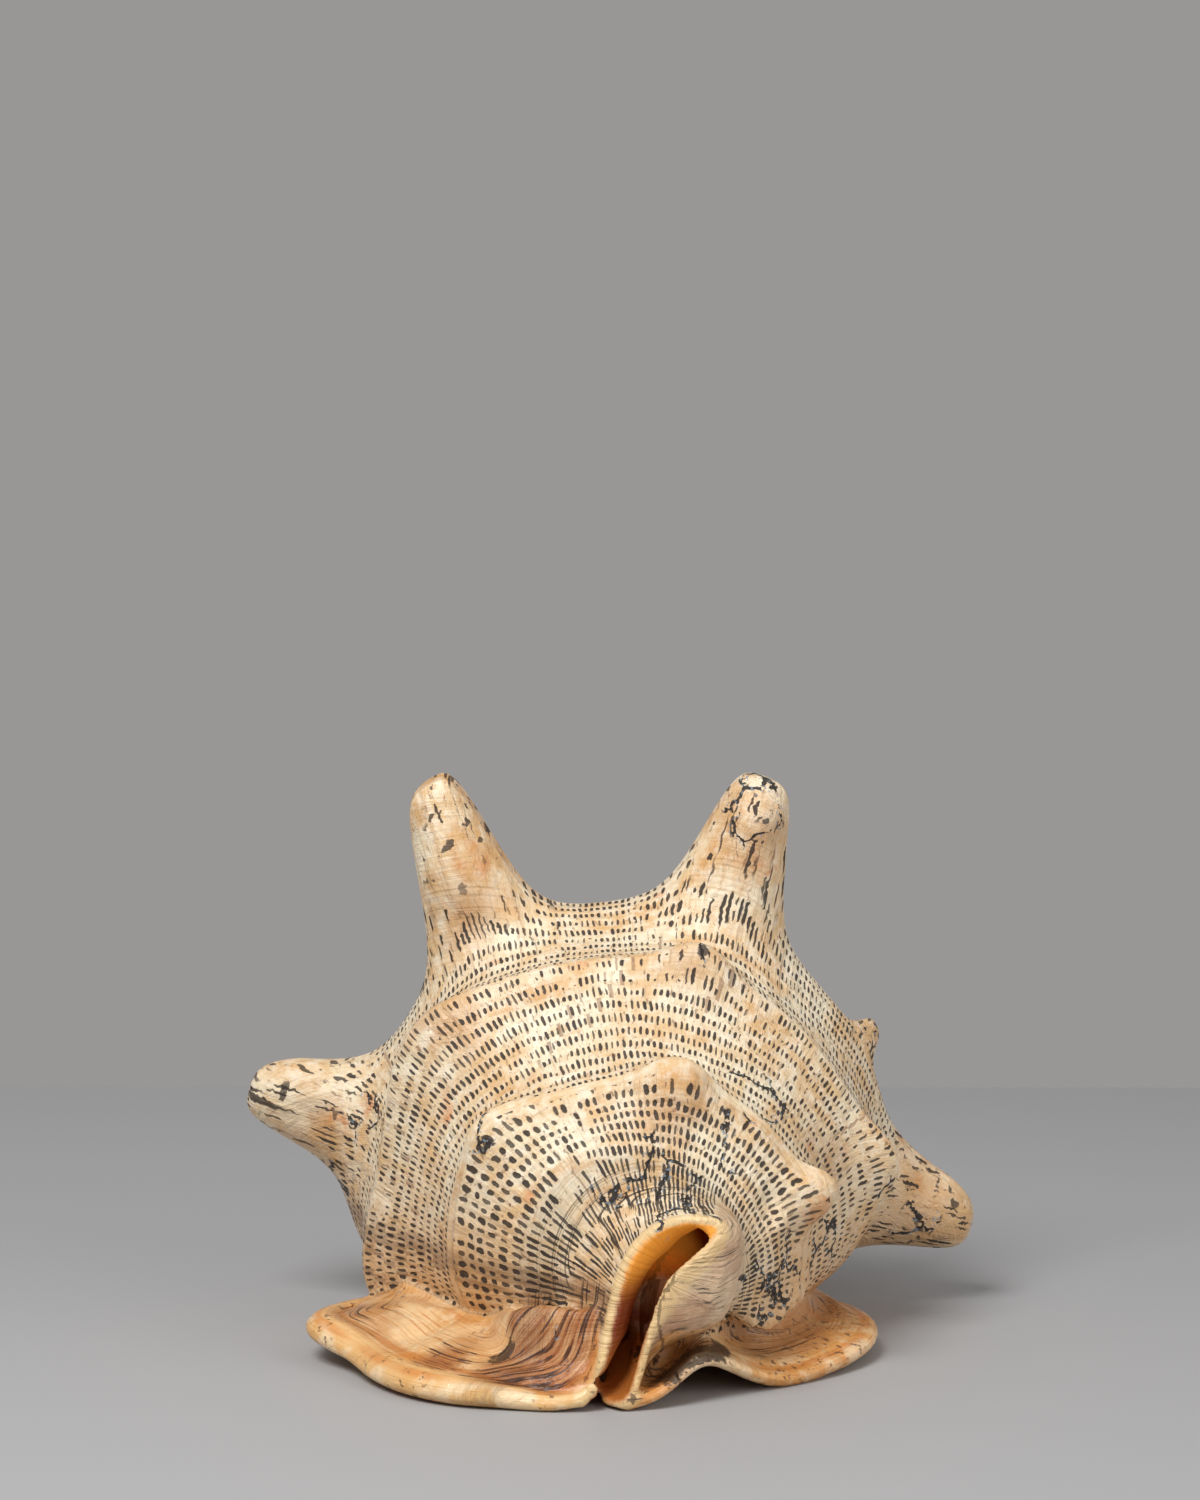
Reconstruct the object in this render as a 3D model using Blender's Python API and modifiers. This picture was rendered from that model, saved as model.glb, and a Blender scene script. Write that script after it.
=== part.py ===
"""A horned helmet shell, a conch, resting on the flat side that its aperture opens through.

The siphonal canal is at the front, towards -Y, and the spire points to +Y. Z is up.
The origin is on the surface that the shell rests on, below the middle of its outline.
Lengths below are in millimetres and angles in degrees, seen from the front with 0 at the right
and 90 at the top, and MM turns lengths into metres.
"""

import math

import bmesh
import bpy
import numpy as np

MM = 0.001

# The coiling axis rises towards the spire.
AXIS_TILT = 13.0

# Stations of the outer wall from the canal to the tip of the spire. Each has its distance along
# the growth lines, its centre, its tilt, and its radii at every RING_STEP round that centre.
RING_STEP = 30.0
STATIONS = (
    (8, (14, -90, 32), 0, (17, 23, 28, 23.5, 17, 15, 15, 18, 24, 18, 14, 14)),
    (20, (13, -80, 34), 3, (22, 27, 27.5, 24.5, 23, 22, 22, 24, 28, 22, 18, 19)),
    (38, (11, -67, 38), 6, (34, 33, 33, 35, 37, 38, 38, 38, 36, 30, 28, 33)),
    (70, (8, -45, 42), 13, (51, 52, 52, 51, 52, 56, 57, 57, 45, 38, 41, 52)),
    (95, (6.5, -22, 46), 13, (65, 63, 62, 62, 63, 66, 67, 70, 52, 42, 45, 62)),
    (120, (5, 0, 50), 13, (78, 75, 75, 75, 77, 80, 79, 88, 56, 44, 48, 70)),
    (142, (4, 22, 55), 13, (82, 79, 76, 75, 76, 79, 82, 90, 60, 48, 52, 73)),
    (166, (3, 45, 60), 13, (86, 83, 78, 77, 76, 78, 85, 90, 63, 53, 66, 84)),
    (192, (3, 61, 63.7), 13, (64, 64, 62, 60, 60, 62, 64, 62, 56, 54, 58, 62)),
    (222, (3, 76, 67.1), 13, (35, 35, 35, 34, 34, 34, 34, 34, 34, 34, 34, 34)),
    (262, (3, 93, 71), 13, (0, 0, 0, 0, 0, 0, 0, 0, 0, 0, 0, 0)),
)
KEEL_3_ALONG = 70.0
KEEL_2_ALONG = 120.0
SHOULDER_ALONG = 166.0
SPIRE_TIP_ALONG = 262.0

# The rolled sheet of the body ends at the lip on the left and inside the shield on the right, at
# these angles for each distance along. Past the shoulder its ends overlap.
EDGE_ALONG = (8, 20, 38, 70, 120, 142, 160, 262)
LIP_EDGE_ANGLE = (230, 227, 225, 228, 229, 234, 250, 250)
SHIELD_EDGE_ANGLE = (-10, -30, -62, -80, -95, -103, -125, -125)
WALL_ALONG = (8, 30, 70, 166, 215, 262)
WALL_THICKNESS = (2.4, 4.5, 6.5, 8, 9, 9)
CHAMBER_STOP = 26.0

# Keels: distance along, ridge height, and knobs as (angle, height, half-width in degrees). The
# ridges fade away from KEEL_MIDDLE.
KEELS = (
    (KEEL_3_ALONG, 2.6, ((139, 4.5, 14), (77, 5.0, 11), (15, 9.0, 9))),
    (KEEL_2_ALONG, 2.8, ((143, 3.8, 15), (74, 8.0, 9), (5, 8.5, 10), (205, 2.0, 8))),
)
KEEL_HALF_WIDTH = 5.5
KEEL_MIDDLE = 100.0
KEEL_FADE = 115.0
KNOB_HALF_LENGTH = 9.0

# Horns of the shoulder: angle, tip, half-width of the shaft, half-width of the flared foot.
HORNS = (
    (177, (-120, 44, 74), 14.0, 28),
    (125, (-60, 19, 177.5), 14.5, 28),
    (66, (50, 19, 180), 15.0, 28),
    (21, (88, 50, 94), 5.5, 12),
    (-13, (120, 54, 26), 15.5, 24),
)
HORN_FLARE = 0.13
HORN_BLUNTNESS = 5.2

# The spire's whorls: widening in a turn, a suture's radius at angle 0, relief as a share of the
# radius and at most, and the knobs' count, place and half-width as shares of a whorl.
WHORL_GROWTH = 1.85
SUTURE_RADIUS = 38.0
SUTURE_SHARE = 0.14
WHORL_RELIEF = 0.12
WHORL_RELIEF_MOST = 5.5
WHORL_KNOBS = 9
WHORL_KNOB_PLACE = 0.72
WHORL_KNOB_HALF = 0.16
SPIRE_OUTER_RADIUS = 82.0
SPIRE_FADE = 12.0

# Flanges round the underside, from the canal round to the back. Each section has its rim (x, y),
# inward direction, the rim's lowest height and thickness, the width and inner height of its
# shelf, the height of the wall behind the shelf, and its whole depth.
LIP_SECTIONS = (
    ((-7, -98.5), 78, 2.5, 4, 6, 15, 30, 16),
    ((-12, -99), 82, 0.6, 4.5, 8, 14, 28, 20),
    ((-21, -98.5), 86, -0.6, 5.5, 12, 12, 28, 28),
    ((-34, -96.5), 84, -0.8, 8, 20, 12, 24, 37),
    ((-48, -93), 72, -0.8, 9, 32, 13, 20, 46),
    ((-64, -82), 55, -0.6, 9.5, 33, 14, 17, 46),
    ((-76, -65), 40, 0.2, 9, 31, 15, 17, 48),
    ((-83, -51), 22, 2.0, 8.5, 28, 15, 17, 48),
    ((-92, -41), 12, 4.0, 9.5, 28, 15, 17, 54),
    ((-97, -29), 2, 5.5, 9, 25, 16, 17, 60),
    ((-93, -12), -8, 5.5, 8, 18, 15, 18, 58),
    ((-84, 8), -18, 3.5, 8, 12, 15, 22, 52),
    ((-77, 28), -28, 0.5, 8, 9, 14, 26, 46),
    ((-65, 48), -50, -0.8, 9, 8, 15, 28, 42),
    ((-45, 62), -68, -0.8, 10, 7, 17, 30, 36),
    ((-22, 70), -85, 1.0, 12, 6, 18, 30, 30),
)
SHIELD_SECTIONS = (
    ((4, -97.5), 84, -0.8, 5, 6, 6, 14, 26),
    ((9, -96.5), 88, 0.6, 4.5, 15, 6, 15, 30),
    ((17, -94), 92, 4.0, 4, 21, 8, 17, 36),
    ((26, -89), 98, 10.0, 4.5, 18, 14.8, 24, 44),
    ((34, -83), 104, 9.0, 5, 14, 17, 30, 52),
    ((44, -75), 112, 3.0, 5.5, 14, 13, 32, 60),
    ((56, -66), 122, -0.8, 6, 16, 10.5, 34, 64),
    ((70, -53), 142, 0.0, 6.5, 20, 11, 36, 66),
    ((81, -37), 162, 1.5, 7, 22, 12, 38, 66),
    ((85, -18), 178, 2.5, 7, 20, 12.5, 40, 64),
    ((83, 3), 190, 2.0, 7, 17, 13, 42, 58),
    ((76, 26), 202, 0.5, 7, 13, 14, 44, 52),
    ((61, 48), 222, -0.8, 8, 9, 16, 42, 46),
    ((38, 63), 244, -0.8, 9, 7, 17, 34, 44),
    ((8, 71), 262, 1.0, 12, 6, 18, 30, 44),
    ((-22, 70), 280, 1.0, 12, 6, 18, 30, 34),
)
LIP_INNER_HEIGHT = 14.0
SHIELD_INNER_HEIGHT = 40.0
FLANGE_WALL_RUN = 12.0
FLANGE_INNER_LIFT = 4.0

# The columella: centre, and half-sizes across and upright, from the canal to the spire.
COLUMELLA = (
    ((15, -70, 26), (10, 11)),
    ((14, -58, 25), (15, 18)),
    ((12, -30, 27), (24, 23)),
    ((14, 0, 31), (32, 27)),
    ((14, 30, 42), (34, 36)),
    ((8, 60, 56), (34, 36)),
)

# The lip's inner edge is a rounded roll beside the slit of the aperture, with teeth across it.
LIP_ROLL = (
    (-19, -79, 10), (-26, -64, 9), (-31, -48, 10), (-34, -28, 10.5), (-34.5, -5, 11),
    (-33, 14, 11.5), (-27, 30, 13), (-14, 40, 16),
)
LIP_ROLL_RADIUS = 6.0
TOOTH_COUNT = 8
TOOTH_START = -50.0
TOOTH_PITCH = 9.2
TOOTH_Z = 7.5
TOOTH_HALF = (9.5, 2.6, 5.0)

# The canal is one sheet, rolled from the lip over the top and down the right to its tongue. Each
# section has its place along Y and its points (x, z) from the lip to the tongue's free edge.
CANAL_SECTIONS = (
    (-98, ((-9, 1.5), (-4, 10), (-1.2, 22), (1.4, 34), (5, 45), (12, 53), (22.5, 56.5),
           (32, 55), (28, 49), (19.5, 42), (14.3, 34), (11.5, 24), (8.8, 14), (6, 5), (2.5, 1.8))),
    (-92, ((-12, 1.5), (-6, 11), (-2.8, 23), (0.2, 35), (4.8, 46), (12.5, 54), (23.5, 57.5),
           (36, 54), (36.5, 45), (32, 35.5), (24, 26.5), (13, 20), (8.6, 11.5), (4, 3.5), (-2.5, 2))),
    (-85, ((-16, 2), (-10.5, 12), (-6.5, 24), (-3, 36), (3, 47), (12, 55), (24.5, 58.5),
           (36.5, 53.5), (38, 43.5), (36, 32.5), (30, 23.5), (17, 18.5), (9.5, 11.5), (4, 6), (-3, 3.5))),
    (-77, ((-19, 4), (-14, 14), (-9.5, 26), (-5.5, 38), (1.5, 49), (12, 56.5), (25, 59),
           (36, 54), (38, 43), (35, 31), (28, 23), (16, 18), (12, 14), (5, 10), (-2, 7))),
    (-68, ((-20, 10), (-16, 19), (-9, 29), (-4, 40), (4, 50), (14, 56), (25, 58),
           (37, 54), (40, 43), (37, 31), (29, 23), (17, 18), (13, 17), (5, 14), (-2, 11))),
)
CANAL_THICKNESS = 3.2
CANAL_LEAN = 0.14

# Behind its rim the canal's left wall and roof thicken inwards: distances behind the rim, the
# thickness there, and how the thickness runs out towards the ends of each section.
LINING_BEHIND = (0, 4, 12, 20, 30)
LINING_THICKNESS = (1.6, 5, 11, 11, 3)
LINING_POINTS = (0, 1, 2, 5, 6, 7)
LINING_SHARE = (0, 0.5, 1, 1, 0.7, 0)
LINING_COLUMNS = 40

# The fineness of the lofts, of the fused skin and of the finished solid.
BODY_ROWS = 130
BODY_COLUMNS = 220
CANAL_ROWS = 24
CANAL_COLUMNS = 90
FLANGE_ROWS = 120
COLUMELLA_ROWS = 30
COLUMELLA_COLUMNS = 40
SKIN_VOXEL = 2.0
SKIN_EASE = 3
FINISHED_TRIANGLES = 9400

# The finished shell is moved this far along Y, which puts its middle over the origin.
CENTRING = 3.0

SHELL_COLOUR = (0.78, 0.62, 0.42, 1.0)


def clear_scene():
    for thing in list(bpy.data.objects):
        bpy.data.objects.remove(thing)


def new_collection(name):
    collection = bpy.data.collections.new(name)
    bpy.context.scene.collection.children.link(collection)
    return collection


def spline(keys, values, at):
    """A natural cubic spline through values at keys, along the first axis."""
    keys = np.asarray(keys, float)
    values = np.asarray(values, float)
    flat = values.reshape(len(keys), -1)
    step = np.diff(keys)
    slope = np.diff(flat, axis=0) / step[:, None]
    matrix = np.eye(len(keys))
    right = np.zeros(flat.shape)
    for i in range(1, len(keys) - 1):
        matrix[i, i - 1 : i + 2] = (step[i - 1], 2 * (step[i - 1] + step[i]), step[i])
        right[i] = 3 * (slope[i] - slope[i - 1])
    bend = np.linalg.solve(matrix, right)
    at = np.clip(np.atleast_1d(np.asarray(at, float)), keys[0], keys[-1])
    cell = np.clip(np.searchsorted(keys, at, side="right") - 1, 0, len(keys) - 2)
    x = (at - keys[cell])[:, None]
    width = step[cell][:, None]
    rise = slope[cell] - width * (2 * bend[cell] + bend[cell + 1]) / 3
    curve = (bend[cell + 1] - bend[cell]) / (3 * width)
    read = flat[cell] + x * (rise + x * (bend[cell] + x * curve))
    return read.reshape((len(at),) + values.shape[1:])


def bump(distance, half_width):
    return np.exp(-((distance / half_width) ** 2))


def angle_between(a, b):
    return (a - b + 180) % 360 - 180


def outward(angles, tilt):
    """Unit vectors away from the axis, for angles and tilts in degrees."""
    turn = np.radians(angles)
    lean = np.radians(tilt) + 0 * turn
    return np.stack(
        [np.cos(turn), -np.sin(turn) * np.sin(lean), np.sin(turn) * np.cos(lean)], axis=-1
    )


def plain_wall(along, angles, inset=0):
    """Points and radii of the wall without its relief, for one row of angles per distance."""
    ring_angles = np.arange(-360, 720, RING_STEP)
    table = np.array([radii * 3 for _, _, _, radii in STATIONS], float)
    stations = [station[0] for station in STATIONS]
    round_ring = spline(ring_angles, table.T, np.mod(angles, 360).ravel())
    round_ring = round_ring.reshape(*angles.shape, len(stations))
    radii = np.array([spline(stations, row.T, at)[0] for row, at in zip(round_ring, along)])
    centre = spline(stations, [station[1] for station in STATIONS], along)
    tilt = spline(stations, [station[2] for station in STATIONS], along)
    reach = np.maximum(radii - inset, 0)
    points = centre[:, None, :] + reach[..., None] * outward(angles, tilt[:, None])
    return points, radii


def keel_height(along, angles):
    """How far the keels and their knobs stand out of the wall."""
    height = np.zeros(angles.shape)
    fade = bump(angle_between(angles, KEEL_MIDDLE), KEEL_FADE)
    for keel_along, ridge, knobs in KEELS:
        off = (along - keel_along)[:, None]
        height += ridge * bump(off, KEEL_HALF_WIDTH) * fade
        for knob_angle, knob_height, half_width in knobs:
            off_angle = angle_between(angles, knob_angle)
            height += knob_height * bump(off, KNOB_HALF_LENGTH) * bump(off_angle, half_width)
    return height


def spire_height(along, angles, radii):
    """How far the spire's whorls stand out: each one rises outwards and drops at its suture."""
    turns = np.log(np.maximum(radii, 1) / SUTURE_RADIUS) / math.log(WHORL_GROWTH) - angles / 360
    share = np.mod(turns, 1)
    rise = (share + 0.4 * np.sin(math.pi * share)) * np.clip((1 - share) / SUTURE_SHARE, 0, 1)
    wave = 0.5 + 0.5 * np.cos(np.radians(angles * WHORL_KNOBS))
    knobs = wave * bump(share - WHORL_KNOB_PLACE, WHORL_KNOB_HALF)
    fade = np.clip((SPIRE_OUTER_RADIUS - radii) / SPIRE_FADE, 0, 1)
    fade = fade * (along > SHOULDER_ALONG)[:, None]
    return fade * np.minimum(radii * WHORL_RELIEF, WHORL_RELIEF_MOST) * (rise + knobs)


def horn_reach(along, angles):
    """How the horns pull the wall out, as vectors: blunt shafts on flared feet."""
    pulled = np.zeros(angles.shape + (3,))
    for horn_angle, tip, shaft, foot in HORNS:
        root, radius = plain_wall([SHOULDER_ALONG], np.array([[float(horn_angle)]]))
        arc = np.radians(angle_between(angles, horn_angle)) * radius[0, 0]
        distance = np.hypot(arc, (along - SHOULDER_ALONG)[:, None])
        share = HORN_FLARE * bump(distance, foot)
        share += (1 - HORN_FLARE) / (1 + (distance / shaft) ** HORN_BLUNTNESS)
        pulled += share[..., None] * (np.array(tip, float) - root[0, 0])
    return pulled


def outer_wall(along, angles):
    points, radii = plain_wall(along, angles)
    tilt = math.radians(AXIS_TILT)
    axis = np.array([0, math.cos(tilt), math.sin(tilt)])
    points += outward(angles, AXIS_TILT) * keel_height(along, angles)[..., None]
    points += axis * spire_height(along, angles, radii)[..., None]
    return points + horn_reach(along, angles)


def inner_wall(along, angles):
    """The chamber's side of the wall, which stops well short of the spire's tip."""
    thickness = np.interp(along, WALL_ALONG, WALL_THICKNESS)[:, None]
    points, _ = plain_wall(along, angles, thickness)
    stop = np.clip((along - SHOULDER_ALONG) / (SPIRE_TIP_ALONG - SHOULDER_ALONG), 0, 1)
    points[..., 1] -= CHAMBER_STOP * stop[:, None]
    return points


def mesh_object(name, points, faces, collection):
    mesh = bpy.data.meshes.new(name)
    mesh.from_pydata([tuple(p) for p in np.reshape(points, (-1, 3)) * MM], [], faces)
    made = bpy.data.objects.new(name, mesh)
    collection.objects.link(made)
    return made


def loft(name, rings, collection):
    """A closed solid through rings of points, with a face over each end."""
    rows, columns = rings.shape[:2]
    faces = [tuple(range(columns)), tuple(range((rows - 1) * columns, rows * columns))]
    for i in range(rows - 1):
        for j in range(columns):
            a = i * columns + j
            b = i * columns + (j + 1) % columns
            faces.append((a, b, b + columns, a + columns))
    made = mesh_object(name, rings, faces, collection)
    edit = bmesh.new()
    edit.from_mesh(made.data)
    bmesh.ops.recalc_face_normals(edit, faces=edit.faces)
    edit.to_mesh(made.data)
    edit.free()
    return made


def make_body(collection):
    """The body whorl and spire, a rolled sheet whose rings run out along its outer side and back."""
    along = np.linspace(STATIONS[0][0], SPIRE_TIP_ALONG, BODY_ROWS)
    start = np.interp(along, EDGE_ALONG, LIP_EDGE_ANGLE)[:, None]
    end = np.interp(along, EDGE_ALONG, SHIELD_EDGE_ANGLE)[:, None]
    angles = start + (end - start) * np.linspace(0, 1, BODY_COLUMNS)
    rings = np.concatenate([outer_wall(along, angles), inner_wall(along, angles)[:, ::-1]], axis=1)
    return loft("body_whorl", rings, collection)


def flange_outline(rim, inward, low, thick, shelf, shelf_height, wall, depth, inner_height):
    """A flange's closed outline across its rim, from its inner underside round to its top."""
    high = low + thick
    half = thick / 2
    under = max(low, 0)
    run = min(FLANGE_WALL_RUN, 0.7 * (depth - shelf))
    across = (
        (depth, under + FLANGE_INNER_LIFT),
        (depth * 0.7, under + FLANGE_INNER_LIFT / 2),
        (depth * 0.4, low + 0.5),
        (thick, low),
        (half * 0.5, low + half * 0.35),
        (0, low + half),
        (half * 0.5, high - half * 0.35),
        (thick, high),
        (max(shelf * 0.6, thick + 1), (high + shelf_height) / 2 - 0.5),
        (shelf + 2, shelf_height),
        (shelf + run * 0.5, shelf_height * 0.4 + wall * 0.6),
        (shelf + run, wall),
        (depth, min(inner_height, wall + 2)),
    )
    turn = math.radians(inward)
    return [
        (rim[0] + width * math.cos(turn), rim[1] + width * math.sin(turn), height)
        for width, height in across
    ]


def make_flange(name, sections, inner_height, collection):
    outlines = [flange_outline(*section, inner_height) for section in sections]
    at = np.linspace(0, len(sections) - 1, FLANGE_ROWS)
    return loft(name, spline(range(len(sections)), outlines, at), collection)


def make_columella(collection):
    """The pillar that the whorls turn round, as oval rings along its line."""
    keys = range(len(COLUMELLA))
    at = np.linspace(0, len(COLUMELLA) - 1, COLUMELLA_ROWS)
    centre = spline(keys, [centre for centre, _ in COLUMELLA], at)
    half = spline(keys, [half for _, half in COLUMELLA], at)
    turn = np.linspace(0, 2 * math.pi, COLUMELLA_COLUMNS, endpoint=False)
    rings = np.repeat(centre[:, None, :], COLUMELLA_COLUMNS, axis=1)
    rings[..., 0] += half[:, :1] * np.cos(turn)
    rings[..., 2] += half[:, 1:] * np.sin(turn)
    return loft("columella", rings, collection)


def canal_sheet(columns, last):
    """Rows of points of the canal's sheet, from the rim back, up to one of its section's points."""
    places = [place for place, _ in CANAL_SECTIONS]
    y = np.linspace(places[0], places[-1], CANAL_ROWS)
    sections = spline(places, [points for _, points in CANAL_SECTIONS], y)
    at = np.linspace(0, last, columns)
    points = np.empty((CANAL_ROWS, columns, 3))
    points[..., [0, 2]] = [spline(range(sections.shape[1]), section, at) for section in sections]
    points[..., 1] = y[:, None] + CANAL_LEAN * points[..., 2]
    return points, at


def make_canal_lining(collection):
    """The thick inner side of the canal's left wall and roof."""
    points, at = canal_sheet(LINING_COLUMNS, LINING_POINTS[-1])
    behind = points[:, 0, 1] - points[0, 0, 1]
    thickness = np.interp(behind, LINING_BEHIND, LINING_THICKNESS)[:, None]
    thickness = thickness * np.interp(at, LINING_POINTS, LINING_SHARE)
    run = np.gradient(points, axis=1)
    inward = np.stack([run[..., 2], 0 * run[..., 0], -run[..., 0]], axis=-1)
    inward /= np.linalg.norm(inward, axis=-1, keepdims=True)
    inner = points + inward * thickness[..., None]
    return loft("canal_lining", np.concatenate([points, inner[:, ::-1]], axis=1), collection)


def make_canal(collection):
    """The siphonal canal, an open rolled sheet given its thickness by Solidify."""
    points, _ = canal_sheet(CANAL_COLUMNS, len(CANAL_SECTIONS[0][1]) - 1)
    faces = []
    for i in range(CANAL_ROWS - 1):
        for j in range(CANAL_COLUMNS - 1):
            a = i * CANAL_COLUMNS + j
            faces.append((a, a + 1, a + CANAL_COLUMNS + 1, a + CANAL_COLUMNS))
    made = mesh_object("canal", points, faces, collection)
    wall = made.modifiers.new("wall", "SOLIDIFY")
    wall.thickness = CANAL_THICKNESS * MM
    wall.offset = 0
    return made


def make_lip_roll(collection):
    curve = bpy.data.curves.new("lip_roll", "CURVE")
    curve.dimensions = "3D"
    curve.bevel_depth = LIP_ROLL_RADIUS * MM
    curve.bevel_resolution = 4
    curve.use_fill_caps = True
    line = curve.splines.new("NURBS")
    line.points.add(len(LIP_ROLL) - 1)
    for point, place in zip(line.points, LIP_ROLL):
        point.co = (*[c * MM for c in place], 1)
    line.use_endpoint_u = True
    line.order_u = 4
    line.resolution_u = 6
    made = bpy.data.objects.new("lip_roll", curve)
    collection.objects.link(made)
    return made


def make_tooth(name, centre, collection):
    """A tooth of the lip: a sphere stretched across the roll."""
    edit = bmesh.new()
    bmesh.ops.create_uvsphere(edit, u_segments=32, v_segments=20, radius=MM)
    mesh = bpy.data.meshes.new(name)
    edit.to_mesh(mesh)
    edit.free()
    made = bpy.data.objects.new(name, mesh)
    made.scale = TOOTH_HALF
    made.location = [c * MM for c in centre]
    collection.objects.link(made)
    return made


def make_teeth(collection):
    roll = np.array(LIP_ROLL)
    teeth = []
    for i in range(TOOTH_COUNT):
        y = TOOTH_START + i * TOOTH_PITCH
        x = np.interp(y, roll[:, 1], roll[:, 0])
        teeth.append(make_tooth(f"tooth_{i}", (x, y, TOOTH_Z), collection))
    return teeth


def join_into_one(pieces, name, collection):
    """One object with the evaluated meshes of all pieces, which it takes the place of."""
    edit = bmesh.new()
    bpy.context.view_layer.update()
    graph = bpy.context.evaluated_depsgraph_get()
    for piece in pieces:
        mesh = bpy.data.meshes.new_from_object(piece.evaluated_get(graph))
        mesh.transform(piece.matrix_world)
        edit.from_mesh(mesh)
    for piece in pieces:
        bpy.data.objects.remove(piece)
    mesh = bpy.data.meshes.new(name)
    edit.to_mesh(mesh)
    edit.free()
    made = bpy.data.objects.new(name, mesh)
    collection.objects.link(made)
    return made


def apply_modifiers(made):
    graph = bpy.context.evaluated_depsgraph_get()
    mesh = bpy.data.meshes.new_from_object(made.evaluated_get(graph))
    made.modifiers.clear()
    made.data = mesh


def fuse_skin(made):
    """One closed skin over the overlapping pieces, its creases eased."""
    remesh = made.modifiers.new("fuse", "REMESH")
    remesh.mode = "VOXEL"
    remesh.voxel_size = SKIN_VOXEL * MM
    ease = made.modifiers.new("ease", "SMOOTH")
    ease.factor = 0.5
    ease.iterations = SKIN_EASE
    apply_modifiers(made)


def thin_out(made):
    thin = made.modifiers.new("thin", "DECIMATE")
    triangles = sum(len(face.vertices) - 2 for face in made.data.polygons)
    thin.ratio = FINISHED_TRIANGLES / triangles
    apply_modifiers(made)


def cut_flat(made):
    """Wears the underside flat where the shell meets the surface that it rests on."""
    edit = bmesh.new()
    edit.from_mesh(made.data)
    everything = list(edit.verts) + list(edit.edges) + list(edit.faces)
    cut = bmesh.ops.bisect_plane(
        edit, geom=everything, plane_co=(0, 0, 0), plane_no=(0, 0, -1), clear_outer=True
    )
    edges = [thing for thing in cut["geom_cut"] if isinstance(thing, bmesh.types.BMEdge)]
    bmesh.ops.holes_fill(edit, edges=edges, sides=0)
    bmesh.ops.triangulate(edit, faces=edit.faces)
    edit.to_mesh(made.data)
    edit.free()


def aged_shell_material():
    material = bpy.data.materials.new("aged_shell")
    material.use_nodes = True
    surface = material.node_tree.nodes["Principled BSDF"]
    surface.inputs["Base Color"].default_value = SHELL_COLOUR
    surface.inputs["Roughness"].default_value = 0.45
    surface.inputs["Metallic"].default_value = 0.0
    return material


def build_shell():
    collection = new_collection("conch_shell")
    pieces = [
        make_body(collection),
        make_flange("lip", LIP_SECTIONS, LIP_INNER_HEIGHT, collection),
        make_flange("shield", SHIELD_SECTIONS, SHIELD_INNER_HEIGHT, collection),
        make_columella(collection),
        make_canal(collection),
        make_canal_lining(collection),
        make_lip_roll(collection),
        *make_teeth(collection),
    ]
    shell = join_into_one(pieces, "shell", collection)
    fuse_skin(shell)
    thin_out(shell)
    cut_flat(shell)
    shell.data.materials.append(aged_shell_material())
    shell.data.shade_smooth()
    shell.location.y = CENTRING * MM


clear_scene()
build_shell()
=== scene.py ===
"""A horned helmet shell, a conch, resting on the flat side that its aperture opens through."""

import math

import bpy
import numpy as np
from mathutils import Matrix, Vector
from mathutils.bvhtree import BVHTree
from mathutils.kdtree import KDTree


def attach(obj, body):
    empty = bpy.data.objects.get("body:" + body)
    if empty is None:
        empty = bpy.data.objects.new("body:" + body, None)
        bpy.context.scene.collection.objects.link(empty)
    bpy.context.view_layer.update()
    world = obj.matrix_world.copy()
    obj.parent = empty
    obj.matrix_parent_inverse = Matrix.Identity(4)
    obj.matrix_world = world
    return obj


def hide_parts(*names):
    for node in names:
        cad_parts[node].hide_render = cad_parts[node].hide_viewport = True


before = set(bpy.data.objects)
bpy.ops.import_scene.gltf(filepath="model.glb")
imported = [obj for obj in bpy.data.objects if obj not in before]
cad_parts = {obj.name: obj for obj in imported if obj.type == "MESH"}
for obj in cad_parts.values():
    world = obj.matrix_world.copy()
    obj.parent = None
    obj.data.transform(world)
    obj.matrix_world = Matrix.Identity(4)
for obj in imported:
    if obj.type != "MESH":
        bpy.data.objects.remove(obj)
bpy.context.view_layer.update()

# Body whorl and spire.
# The animal lays this sheet of aragonite down at the edge of its mantle, one growth line after
# another, so it is a rolled wall that widens from the canal to the horned shoulder and then
# closes in whorls to the spire's tip. Its ends are left open along the aperture underneath.

MM = 0.001
CENTRING = 3.0
AXIS_TILT = 13.0
RING_STEP = 30.0

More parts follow.
